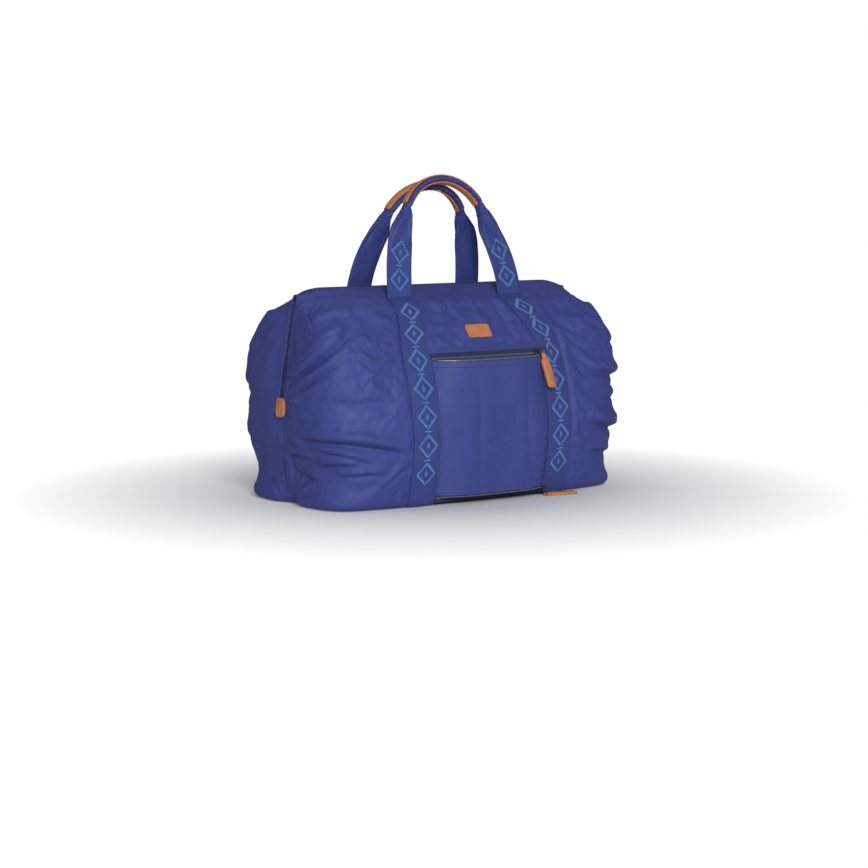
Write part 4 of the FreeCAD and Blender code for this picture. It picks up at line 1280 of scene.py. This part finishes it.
class TOTE_OT_handles(bpy.types.Operator):
    """Make the two looped handles: gathered bands, leather grips, stitching and ornament"""
    bl_idname = "tote.handles"
    bl_label = "Handles"

    def execute(self, context):
        for face in ("rear", "front"):
            loop, body = Loop(face), face + "_handle"
            run = np.linspace(0.0, loop.total, 330)
            ring = band_section(loop, run)
            obj = piece(face + "_band", facing(ring, face), closed_ring(*ring.shape[:2]), strap_nylon())
            outward(obj)
            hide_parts(body + "_band")
            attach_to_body(obj, body)
            for place, flip in (("upper", 1.0), ("lower", -1.0)):
                self.grip(loop, face, place, flip)
            self.leg_details(loop, face)
        return {"FINISHED"}

    @staticmethod
    def grip(loop, face, place, flip):
        """A leather strip over or under the gathered band, with two rows of stitches."""
        half, wall, reach = 6.3, 1.7, ARC_HALF * 0.97
        radius = ARC_RADIUS + flip * GRIP_OFFSET
        angles = np.linspace(-reach, reach, 90)
        rounding = np.clip((reach - np.abs(angles)) * radius / 5.0, 0.0, 1.0)
        narrow = 0.62 + 0.38 * np.sqrt(1.0 - (1.0 - rounding) ** 2)
        x_axis = np.array([1.0, 0.0, 0.0])
        rings, lines, ups = [], {-1: [], 1: []}, []
        for angle, small in zip(angles, narrow):
            radial = x_axis * math.sin(angle) + loop.v * math.cos(angle)
            centre = loop.origin + loop.v * loop.centre_v + radial * radius
            rings.append([centre + loop.w * (a * half * small) + radial * (flip * h * wall)
                          for a, h in GRIP_SECTION])
            for sign in (-1, 1):
                beside = loop.w * (sign * GROOVE * half * small)
                lines[sign].append(centre + beside + radial * (flip * 0.5 * wall))
            ups.append(radial * flip)
        rings = np.array(rings)
        obj = piece(f"{face}_grip_{place}_leather", facing(rings, face), closed_ring(*rings.shape[:2]),
                    leather_finish())
        outward(obj)
        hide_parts(f"{face}_grip_{place}")
        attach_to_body(obj, face + "_handle")
        rows = [(facing(np.array(lines[sign]), face), facing(np.array(ups), face)) for sign in (-1, 1)]
        stitches(f"{face}_grip_{place}_stitches", rows, tan_thread_finish(), body=face + "_handle", pitch=3.2)

    @staticmethod
    def leg_details(loop, face):
        """Edge stitching and ornament on the outer faces of both legs."""
        def on_leg(path_run, path_across, lift):
            centre, out = loop.at(path_run)
            wide, thick, _ = loop.widths(path_run)
            side = np.where(path_run < loop.total / 2, 1.0, -1.0)
            across = path_across * wide / STRAP_HALF
            up = thick + loop.bow(path_run, across) + lift
            return centre + out * (across * side)[..., None] + loop.w * up[..., None]

        lines = []
        low, high = 3.0, 128.0
        for first, last in ((low, high), (loop.total - high, loop.total - low)):
            run = np.linspace(first, last, 60)
            for edge in (-EDGE_ROW, EDGE_ROW):
                line = on_leg(run, np.full_like(run, edge), np.full_like(run, 0.1))
                lines.append((facing(line, face), facing(np.broadcast_to(loop.w, line.shape), face)))
        stitches(face + "_leg_stitches", lines, stitching_finish(), body=face + "_handle")

        def sunk(path_run, path_across, lift):
            return on_leg(path_run, path_across, lift - 0.15)

        low, high = 4.0, 88.0
        for hand, first, last in (("right", low, high), ("left", loop.total - high, loop.total - low)):
            motif = ornament(f"{face}_leg_{hand}_embroidery", first, last, sunk, face)
            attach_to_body(motif, face + "_handle")


# ------------------------------------------------------------------ sleeve
SLEEVE_FOLDS = (
    # start (x, z), end (x, z), height, width, bow
    ((-38, 202), (-33, 20), 1.6, 13.0, 4.0),
    ((56, 190), (66, 12), 2.0, 13.0, -5.0),
    ((90, 60), (38, 16), 1.2, 7.0, 4.0),
    ((92, 96), (66, 40), 1.0, 6.0, 3.0),
    ((8, 150), (2, 40), -0.8, 16.0, 3.0),
)


class TOTE_OT_sleeve(bpy.types.Operator):
    """Make the trolley sleeve with hems, soft folds and stitching"""
    bl_idname = "tote.sleeve"
    bl_label = "Trolley Sleeve"

    @staticmethod
    def shape(x, z):
        """Height of the soft folds over the plain sleeve."""
        rise = np.clip((z - SLEEVE_LOW) / (SLEEVE_HIGH - SLEEVE_LOW), 0, 1)
        inner = smooth((SLEEVE_HALF - np.abs(x)) / 16.0) * smooth(rise / 0.1) * smooth((1 - rise) / 0.1)
        soft = sum(fold(x, z, *line) for line in SLEEVE_FOLDS)
        return inner * soft - 1.3 * inner * np.exp(-((x - 5) / 50.0) ** 2)

    def execute(self, context):
        across = np.linspace(-SLEEVE_HALF, SLEEVE_HALF, 97)
        heights = np.concatenate((np.linspace(SLEEVE_LOW, SLEEVE_LOW + 12, 13),
                                  np.linspace(SLEEVE_LOW + 14, SLEEVE_HIGH - 14, 70),
                                  np.linspace(SLEEVE_HIGH - 12, SLEEVE_HIGH, 13)))
        x, z = np.meshgrid(across, heights)
        hem = np.minimum(z - SLEEVE_LOW, SLEEVE_HIGH - z)
        puffed = 0.7 * (1 - smooth((hem - 7.0) / 2.0)) - 0.45 * np.exp(-((hem - 8.0) / 0.9) ** 2)
        sides = -0.5 * np.exp(-((SLEEVE_HALF - 3.5 - np.abs(x)) / 0.9) ** 2)
        lift = 0.9 + self.shape(x, z) + puffed + sides
        outer = lift_off(sleeve_depth, x, z, lift)
        inner = lift_off(sleeve_depth, x[:, ::-1], z, lift[:, ::-1] - 1.6)
        ring = np.concatenate((outer, inner), axis=1)
        obj = piece("sleeve_cloth", ring, closed_ring(*ring.shape[:2]), shell_nylon())
        outward(obj)
        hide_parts("sleeve_panel")
        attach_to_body(obj, "shell")
        lines = []
        for level in (SLEEVE_LOW + 8.0, SLEEVE_HIGH - 8.0):
            xs = np.linspace(4.0 - SLEEVE_HALF, SLEEVE_HALF - 4.0, 80)
            zs = np.full_like(xs, level)
            line = lift_off(sleeve_depth, xs, zs, 0.65 + self.shape(xs, zs))
            lines.append((line, np.broadcast_to((0.0, -1.0, 0.0), line.shape)))
        for edge in (3.5 - SLEEVE_HALF, SLEEVE_HALF - 3.5):
            zs = np.linspace(SLEEVE_LOW + 2, SLEEVE_HIGH - 2, 80)
            xs = np.full_like(zs, edge)
            line = lift_off(sleeve_depth, xs, zs, np.full_like(xs, 0.75))
            on_cloth = lift_off(sleeve_depth, xs, zs, np.zeros_like(xs))
            over_cloth = lift_off(sleeve_depth, xs, zs, np.ones_like(xs))
            lines.append((line, over_cloth - on_cloth))
        xs = np.linspace(2.0 - SLEEVE_HALF, SLEEVE_HALF - 2.0, 80)
        above = np.full_like(xs, SLEEVE_HIGH + 16.0)
        line = lift_off(pressed_depth, xs, above, np.full_like(xs, 0.2))
        lines.append((line, np.broadcast_to((0.0, -1.0, 0.2), line.shape)))
        stitches("sleeve_stitches", lines, stitching_finish(), body="shell")
        return {"FINISHED"}


# ------------------------------------------------------------------ zips
TOOTH = [(-0.32, -1.0, 0.0), (0.32, -1.0, 0.0), (0.32, 1.0, 0.0), (-0.32, 1.0, 0.0),
         (-0.30, -0.8, 0.8), (0.30, -0.8, 0.8), (0.30, 0.85, 0.8), (-0.30, 0.85, 0.8),
         (-0.16, -0.6, 1.0), (0.16, -0.6, 1.0), (0.16, 0.65, 1.0), (-0.16, 0.65, 1.0)]
TOOTH_FACES = [(3, 2, 1, 0), (0, 1, 5, 4), (1, 2, 6, 5), (2, 3, 7, 6), (3, 0, 4, 7),
               (4, 5, 9, 8), (5, 6, 10, 9), (6, 7, 11, 10), (7, 4, 8, 11), (8, 9, 10, 11)]


def teeth_row(name, path, up, finish, reach, high, shift=0.0):
    """Teeth set along a path at an even pitch; reach is half their length across the run."""
    pitch = sizes().tooth / MM
    path, (up,), step = resample(path, [up], pitch)
    tangent, side, up = frames_along(path, up / np.linalg.norm(up, axis=1, keepdims=True))
    template = np.array(TOOTH) * np.array([step, reach, high])
    places = [(p + t * (shift * step), t, s, u) for p, t, s, u in zip(path, tangent, side, up)][1:-1]
    obj = scatter(name, template, TOOTH_FACES, places, finish, smooth_faces=False)
    return obj


def tape_strip(name, path, side, up, low, high, wall, finish):
    """A woven tape from low to high along its side direction, with a corded bead near the teeth."""
    shares = np.linspace(0.0, 1.0, 9)
    rings = []
    for k in shares:
        bead = 0.35 * math.exp(-((k - 0.12) / 0.06) ** 2)
        rings.append(path + side * (low + (high - low) * k) + up * (wall / 2 + bead))
    for k in shares[::-1]:
        rings.append(path + side * (low + (high - low) * k) - up * (wall / 2))
    ring = np.stack(rings, 1)
    obj = piece(name, ring, closed_ring(*ring.shape[:2]), finish)
    outward(obj)
    return obj


def main_zip_path():
    """Middle line of the main zip from the left end over the crest to the right end, and its normals."""
    corner = 20.0
    high_end = CREST - 8.0
    z = np.linspace(150.0, high_end - corner, 70)
    left = np.stack([-zip_line(z), np.zeros(70), z], 1)
    turn = np.linspace(0.0, np.pi / 2, 14)[1:-1]
    lean = float(zip_line(high_end - corner))
    arc = np.stack([-(lean - corner + corner * np.cos(turn)), np.zeros(12), z[-1] + corner * np.sin(turn)], 1)
    x = np.linspace(-(lean - corner), lean - corner, 150)
    high = CREST + 1.6 - crest_drop(x, np.full(150, CREST))
    least = high_end + smooth((lean - corner - np.abs(x)) / 30.0)
    crown = np.stack([x, np.zeros(150), np.maximum(high, least)], 1)
    right = (left * np.array([-1, 1, 1]))[::-1]
    path = np.concatenate((left, arc, crown, (arc * np.array([-1, 1, 1]))[::-1], right))
    normal = np.zeros_like(path)
    tangent = np.gradient(path, axis=0)
    normal[:, 0], normal[:, 2] = -tangent[:, 2], tangent[:, 0]
    normal /= np.linalg.norm(normal, axis=1, keepdims=True)
    return path, normal


class TOTE_OT_zips(bpy.types.Operator):
    """Make the main zip over the crest and the two open zips of the sleeve"""
    bl_idname = "tote.zips"
    bl_label = "Zips"

    def execute(self, context):
        tape = tape_finish("zip_tape", colours().tape)
        dark = metal_finish("main_zip_teeth", colours().crest_teeth, metallic=0.0, rough=0.38)
        grey = metal_finish("sleeve_zip_teeth", colours().teeth, metallic=0.55, rough=0.36)
        path, normal = main_zip_path()
        for face, turn in (("rear", -1.0), ("front", 1.0)):
            side = np.broadcast_to((0.0, turn, 0.0), path.shape)
            sheet = tape_strip(face + "_main_tape", path, side, normal, 0.9, 11.0, 0.8, tape)
            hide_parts(face + "_zip_tape")
            shift = 0.0 if face == "rear" else 0.5
            row = teeth_row(face + "_main_teeth", path + side * 1.15 + normal * 0.3, normal, dark,
                            1.35, 1.5, shift)
            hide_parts(face + "_zip_teeth")
            for obj in (sheet, row):
                attach(obj, bend=("shell", face + "_mouth"))
            if face == "rear":
                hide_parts("left_zip_chain", "right_zip_chain")
        self.face_rows(tape, grey)
        self.sleeve_rows(tape, grey)
        self.edge_stitches()
        return {"FINISHED"}

    @staticmethod
    def face_rows(tape, grey):
        """The halves of the sleeve's two zips that are sewn to the face."""
        x = np.linspace(1.0 - SLEEVE_HALF, SLEEVE_HALF - 1.0, 90)
        for name, low, high, at in (("sleeve_top_inner", 206.6, 213.6, 206.6),
                                    ("sleeve_bottom_inner", 3.8, 11.0, 11.0)):
            outline = ((low, 0.2), (low, 1.1), ((low + high) / 2, 1.3), (high, 1.1), (high, 0.2))
            ring = np.stack([lift_off(pressed_depth, x, np.full_like(x, z), np.full_like(x, lift))
                             for z, lift in outline], 1)
            sheet = outward(piece(name + "_tape", ring, closed_ring(*ring.shape[:2]), tape))
            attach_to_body(sheet, "shell")
            line = lift_off(pressed_depth, x, np.full_like(x, at), np.full_like(x, 0.9))
            up = np.broadcast_to((0.0, -1.0, 0.0), line.shape)
            row = teeth_row(name + "_teeth", line, up, grey, 1.3, 1.5)
            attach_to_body(row, "shell")
            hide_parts(name.replace("_inner", "_zip_inner"))

    @staticmethod
    def sleeve_rows(tape, grey):
        """The halves of the sleeve's two zips that are sewn to the sleeve's hems."""
        x = np.linspace(5.0 - SLEEVE_HALF, SLEEVE_HALF - 5.0, 90)
        for name, level, way in (("sleeve_top_outer", SLEEVE_HIGH, 1.0),
                                 ("sleeve_bottom_outer", SLEEVE_LOW, -1.0)):
            base = lift_off(sleeve_depth, x, np.full_like(x, level), np.full_like(x, 0.6))
            outline = ((-0.7, -3.0), (-0.7, 1.2), (0.5, 1.2), (0.5, -3.0))
            ring = np.stack([base + np.array([0, deep, high * way]) for deep, high in outline], 1)
            sheet = outward(piece(name + "_tape", ring, closed_ring(*ring.shape[:2]), tape))
            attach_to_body(sheet, "shell")
            up = np.broadcast_to((0.0, 0.0, way), base.shape)
            row = teeth_row(name + "_teeth", base + np.array([0, -0.1, 1.2 * way]), up, grey, 0.9, 1.5)
            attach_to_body(row, "shell")
            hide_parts(name.replace("_outer", "_zip_outer"))

    @staticmethod
    def edge_stitches():
        """Rows of stitches beside the main zip and below the crest."""
        for face in ("rear", "front"):
            panel, points, _ = shaped_panel(face)
            normals = Panel.find_normals(points)
            z = panel.points[..., 2]
            lines = []
            row = int(np.argmin(np.abs(z[:, 0] - (CREST - 8.0))))
            lines.append((points[row, 6:-6] + normals[row, 6:-6] * 0.1, normals[row, 6:-6]))
            for column in (1, panel.columns - 2):
                pick = (z[:, column] > 156.0) & (z[:, column] < CREST - 4.0)
                lines.append((points[pick, column] + normals[pick, column] * 0.1, normals[pick, column]))
            lines = [(facing(p, face), facing(n, face)) for p, n in lines]
            stitches(face + "_zip_stitches", lines, stitching_finish(), bend=("shell", face + "_mouth"))


# ------------------------------------------------------------------ leather and hardware
# a leather face from its edge inwards: width of each step and its rise
LEATHER_STEPS = ((0.35, 0.28), (0.9, 0.0), (0.35, -0.3), (0.35, 0.0), (0.4, 0.38), (1.6, 0.3))
LEATHER_REACH = 4.4


def leather_block(name, long, wide, wall, corner):
    """A padded leather piece lying flat: rounded outline, stitched groove, pillowed middle."""
    bpy.ops.object.select_all(action="DESELECT")
    bpy.ops.mesh.primitive_cube_add(size=1.0)
    obj = bpy.context.object
    obj.name = obj.data.name = name
    obj.scale = (long * MM, wide * MM, wall * MM)
    bpy.ops.object.transform_apply(location=False, rotation=False, scale=True)
    bpy.ops.object.mode_set(mode="EDIT")
    mesh = bmesh.from_edit_mesh(obj.data)
    bpy.ops.mesh.select_mode(type="EDGE")
    bpy.ops.mesh.select_all(action="DESELECT")
    for edge in mesh.edges:
        a, b = (v.co for v in edge.verts)
        edge.select = abs(a.z - b.z) > wall * MM * 0.5
    bmesh.update_edit_mesh(obj.data)
    bpy.ops.mesh.bevel(offset=corner * MM, segments=8, affect="EDGES")
    bpy.ops.mesh.select_mode(type="FACE")
    share = min(1.0, corner / LEATHER_REACH) * MM
    for side in (1.0, -1.0):
        mesh = bmesh.from_edit_mesh(obj.data)
        bpy.ops.mesh.select_all(action="DESELECT")
        for f in mesh.faces:
            f.select = f.normal.z * side > 0.9
        bmesh.update_edit_mesh(obj.data)
        for width, rise in LEATHER_STEPS:
            bpy.ops.mesh.inset(thickness=width * share, depth=rise * share)
    bpy.ops.object.mode_set(mode="OBJECT")
    obj.data.materials.append(leather_finish())
    bevel = obj.modifiers.new("Soft edge", "BEVEL")
    bevel.width = 0.22 * MM
    bevel.segments = 2
    bevel.limit_method = "ANGLE"
    bevel.angle_limit = math.radians(50)
    apply_modifiers(obj)
    bpy.ops.object.shade_smooth_by_angle(angle=math.radians(55))
    return obj


def place_piece(obj, origin, x_axis, z_axis):
    """Turns and moves a finished flat piece to its place, into its mesh."""
    x_axis, z_axis = Vector(x_axis).normalized(), Vector(z_axis).normalized()
    y_axis = z_axis.cross(x_axis)
    turn = Matrix((x_axis, y_axis, z_axis)).transposed().to_4x4()
    turn.translation = Vector(origin)
    obj.data.transform(turn)
    obj.data.update()
    return obj


def node_frame(node):
    """Centre and size of a frame node, in metres."""
    low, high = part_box(node)
    return (low + high) / 2, high - low


STITCH_INSET = 1.6


def outline_stitches(name, origin, x_axis, z_axis, outline, lift, body, both=True):
    """Stitches round the border of a leather piece with the outline (length, width, corner)."""
    x_axis, z_axis = (np.array(Vector(a).normalized()) for a in (x_axis, z_axis))
    y_axis = np.cross(z_axis, x_axis)
    long, wide, corner = outline
    r = max(corner - STITCH_INSET, 0.6)
    cx, cy = long / 2 - STITCH_INSET - r, wide / 2 - STITCH_INSET - r
    path = []
    for x, y, first in ((cx, cy, 0), (-cx, cy, 90), (-cx, -cy, 180), (cx, -cy, 270)):
        for a in np.radians(np.linspace(first, first + 90, 7)):
            path.append((x + r * math.cos(a), y + r * math.sin(a)))
    path.append(path[0])
    path = np.array(path)
    lines = []
    for side in ((1.0, -1.0) if both else (1.0,)):
        points = np.array(origin) / MM + path[:, :1] * x_axis + path[:, 1:] * y_axis + z_axis * (side * lift)
        lines.append((points, np.broadcast_to(z_axis * side, points.shape)))
    obj = stitches(name, lines, tan_thread_finish(), body=body, pitch=2.6)
    return obj


# outlines in millimetres: length, width, corner
TAB = (27.0, 21.0, 6.0)
PATCH = (42.0, 22.0, 4.0)
TONGUE = (45.0, 14.0, 4.6)
NECK = (13.0, 7.0, 2.2)
PULLS = (
    # name of node and body, eye, direction it hangs in, outer side
    ("main_pull", (0.268643, 0.0, 0.159613), (0.277, 0.0, -0.961), (0.961, 0.0, 0.277)),
    ("sleeve_top_pull", (0.1015, -0.129651, 0.20395), (0.0, -0.4226, -0.9063), (0.0, -0.9063, 0.4226)),
    ("sleeve_bottom_pull", (0.093871, -0.145959, 0.00225), (0.9848, -0.1736, 0.0), (0.0, 0.0, 1.0)),
)


class TOTE_OT_leather(bpy.types.Operator):
    """Make the zip tabs, the patch and the three pulls in stitched leather"""
    bl_idname = "tote.leather"
    bl_label = "Leather Pieces"

    def execute(self, context):
        for hand, sign in (("left", -1.0), ("right", 1.0)):
            centre, _ = node_frame(hand + "_zip_tab")
            lean = 0.09
            out = Vector((sign, 0.0, lean)).normalized()
            run = Vector((-lean * sign, 0.0, 1.0))
            centre = centre + out * 0.0006
            obj = leather_block(hand + "_tab_leather", TAB[0], TAB[1], 2.2, TAB[2])
            place_piece(obj, centre, run, out)
            self.dress(obj, hand + "_zip_tab", "shell")
            outline_stitches(hand + "_tab_stitches", centre, run, out, TAB, 1.25, "shell", both=False)
        centre, size = node_frame("leather_patch")
        lean = math.atan2(size.y - 0.0014, size.z)
        up = Vector((0.0, math.sin(lean), math.cos(lean)))
        out = Vector((0.0, -math.cos(lean), math.sin(lean)))
        centre = centre + out * 0.0004
        obj = leather_block("patch_leather", PATCH[0], PATCH[1], 1.6, PATCH[2])
        place_piece(obj, centre, (1.0, 0.0, 0.0), out)
        self.dress(obj, "leather_patch", "rear_mouth")
        outline_stitches("patch_stitches", centre, (1, 0, 0), out, PATCH, 0.95, "rear_mouth", both=False)
        for name, eye, down, out in PULLS:
            self.pull(name, Vector(eye), Vector(down), Vector(out))
        return {"FINISHED"}

    @staticmethod
    def dress(obj, node, body):
        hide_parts(node)
        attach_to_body(obj, body)

    def pull(self, name, eye, down, out):
        """A long rounded tongue hung from a narrow neck that wraps the link."""
        down, out = down.normalized(), out.normalized()
        tongue = leather_block(name + "_tongue", TONGUE[0], TONGUE[1], 2.9, TONGUE[2])
        centre = eye + down * 0.0285
        place_piece(tongue, centre, down, out)
        neck = leather_block(name + "_neck", NECK[0], NECK[1], 2.6, NECK[2])
        place_piece(neck, eye + down * 0.0040, down, out)
        only(tongue)
        neck.select_set(True)
        bpy.ops.object.join()
        tongue.name = tongue.data.name = name + "_leather"
        self.dress(tongue, name, name)
        outline_stitches(name + "_stitches", centre, down, out, TONGUE, 1.6, name)


class TOTE_OT_hardware(bpy.types.Operator):
    """Finish the sliders and links that the frame already carries"""
    bl_idname = "tote.hardware"
    bl_label = "Hardware"

    def execute(self, context):
        steel = metal_finish("gunmetal", colours().metal, metallic=1.0, rough=0.26)
        for name in ("main_slider", "main_link", "sleeve_top_slider", "sleeve_top_link",
                     "sleeve_bottom_slider", "sleeve_bottom_link"):
            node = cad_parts[name]
            node.data.materials.clear()
            node.data.materials.append(steel)
        return {"FINISHED"}


# ------------------------------------------------------------------ stage
LAMPS = (
    # name, place in metres, size in metres, power in watts
    ("key", (-1.5, -3.0, 1.5), 0.9, 84.0),
    ("fill", (-3.0, 0.6, 1.6), 1.8, 2.0),
    ("top", (0.3, 0.6, 3.2), 2.4, 5.0),
)


class TOTE_OT_stage(bpy.types.Operator):
    """Set the floor, the lamps, the world and the camera"""
    bl_idname = "tote.stage"
    bl_label = "Stage"

    def execute(self, context):
        scene = context.scene
        scene.view_settings.view_transform = "Standard"
        self.world(scene)
        bpy.ops.object.select_all(action="DESELECT")
        bpy.ops.mesh.primitive_plane_add(size=40.0, location=(0.0, 0.0, 0.0))
        floor = context.object
        floor.name = "floor"
        floor.data.materials.append(self.floor_finish())
        middle = Vector((0, 0, 0.15))
        for name, place, size, power in LAMPS:
            lamp = bpy.data.objects.new(name, bpy.data.lights.new(name, "AREA"))
            lamp.data.size = size
            lamp.data.energy = power
            lamp.location = place
            lamp.rotation_euler = (middle - Vector(place)).to_track_quat("-Z", "Y").to_euler()
            scene.collection.objects.link(lamp)
        camera = bpy.data.objects.new("camera", bpy.data.cameras.new("camera"))
        camera.data.lens = 92.6
        camera.data.sensor_width = 36.0
        yaw, pitch, far = math.radians(36.4), math.radians(6.6), 3.30
        aim = Vector((0.0, 0.0, 0.083))
        camera.location = aim - far * Vector((math.sin(yaw) * math.cos(pitch),
                                              math.cos(yaw) * math.cos(pitch), -math.sin(pitch)))
        camera.rotation_euler = (math.pi / 2 - pitch, 0.0, -yaw)
        scene.collection.objects.link(camera)
        scene.camera = camera
        return {"FINISHED"}

    @staticmethod
    def world(scene):
        """A soft even light that the camera itself sees as white."""
        world = bpy.data.worlds.new("studio")
        scene.world = world
        world.use_nodes = True
        tree = world.node_tree
        tree.nodes.clear()
        paths = tree.nodes.new("ShaderNodeLightPath")
        soft = tree.nodes.new("ShaderNodeBackground")
        white = tree.nodes.new("ShaderNodeBackground")
        soft.inputs["Color"].default_value = (0.92, 0.95, 1.0, 1.0)
        soft.inputs["Strength"].default_value = 0.20
        white.inputs["Color"].default_value = (1.0, 1.0, 1.0, 1.0)
        mix = tree.nodes.new("ShaderNodeMixShader")
        out = tree.nodes.new("ShaderNodeOutputWorld")
        tree.links.new(paths.outputs["Is Camera Ray"], mix.inputs[0])
        tree.links.new(soft.outputs[0], mix.inputs[1])
        tree.links.new(white.outputs[0], mix.inputs[2])
        tree.links.new(mix.outputs[0], out.inputs[0])

    @staticmethod
    def floor_finish():
        """Pale floor that fades to the white of the backdrop away from the bag."""
        f = Finish("floor_paper")
        if f.ready:
            return f.material
        tint = tuple(colours().floor)
        f.set(Roughness=0.9, Specular_IOR_Level=0.1)
        base = f.ramp(f.noise(3.0), [(0.3, shade(tint, 0.99)), (0.7, tint)])
        f.finish(base, None, f.bump(f.noise(400.0), 0.0002, 0.2))
        out = f.tree.nodes["Material Output"]
        far = f.node("ShaderNodeVectorMath", operation="LENGTH")
        f.link(f.place, far.inputs[0])
        fade = f.map(far.outputs["Value"], 0.20, 0.62, 0.0, 1.0)
        paths = f.node("ShaderNodeLightPath")
        white = f.node("ShaderNodeEmission", Strength=1.0)
        mix = f.node("ShaderNodeMixShader")
        f.link(f.maths("MULTIPLY", fade, paths.outputs["Is Camera Ray"]), mix.inputs[0])
        f.link(f.shader.outputs[0], mix.inputs[1])
        f.link(white.outputs[0], mix.inputs[2])
        f.link(mix.outputs[0], out.inputs["Surface"])
        return f.material


class TOTE_PT_panel(bpy.types.Panel):
    """Sidebar list of the tote's pieces"""
    bl_idname = "TOTE_PT_panel"
    bl_label = "Foldable Tote Bag"
    bl_space_type = "VIEW_3D"
    bl_region_type = "UI"
    bl_category = "Tote"

    def draw(self, context):
        for step in STEPS:
            self.layout.operator(step.bl_idname)
        for group in (sizes(), colours()):
            box = self.layout.box()
            for key in group.__annotations__:
                box.prop(group, key)


STEPS = (TOTE_OT_shell, TOTE_OT_lining, TOTE_OT_base, TOTE_OT_straps, TOTE_OT_handles, TOTE_OT_sleeve,
         TOTE_OT_zips, TOTE_OT_leather, TOTE_OT_hardware, TOTE_OT_stage)
CLASSES = (ToteSizes, ToteColours, *STEPS, TOTE_PT_panel)


def register():
    for cls in CLASSES:
        bpy.utils.register_class(cls)
    bpy.types.Scene.tote_sizes = bpy.props.PointerProperty(type=ToteSizes)
    bpy.types.Scene.tote_colours = bpy.props.PointerProperty(type=ToteColours)


def unregister():
    del bpy.types.Scene.tote_colours
    del bpy.types.Scene.tote_sizes
    for cls in reversed(CLASSES):
        bpy.utils.unregister_class(cls)


def main():
    register()
    for step in STEPS:
        group, _, name = step.bl_idname.partition(".")
        getattr(getattr(bpy.ops, group), name)()


if __name__ == "__main__":
    main()
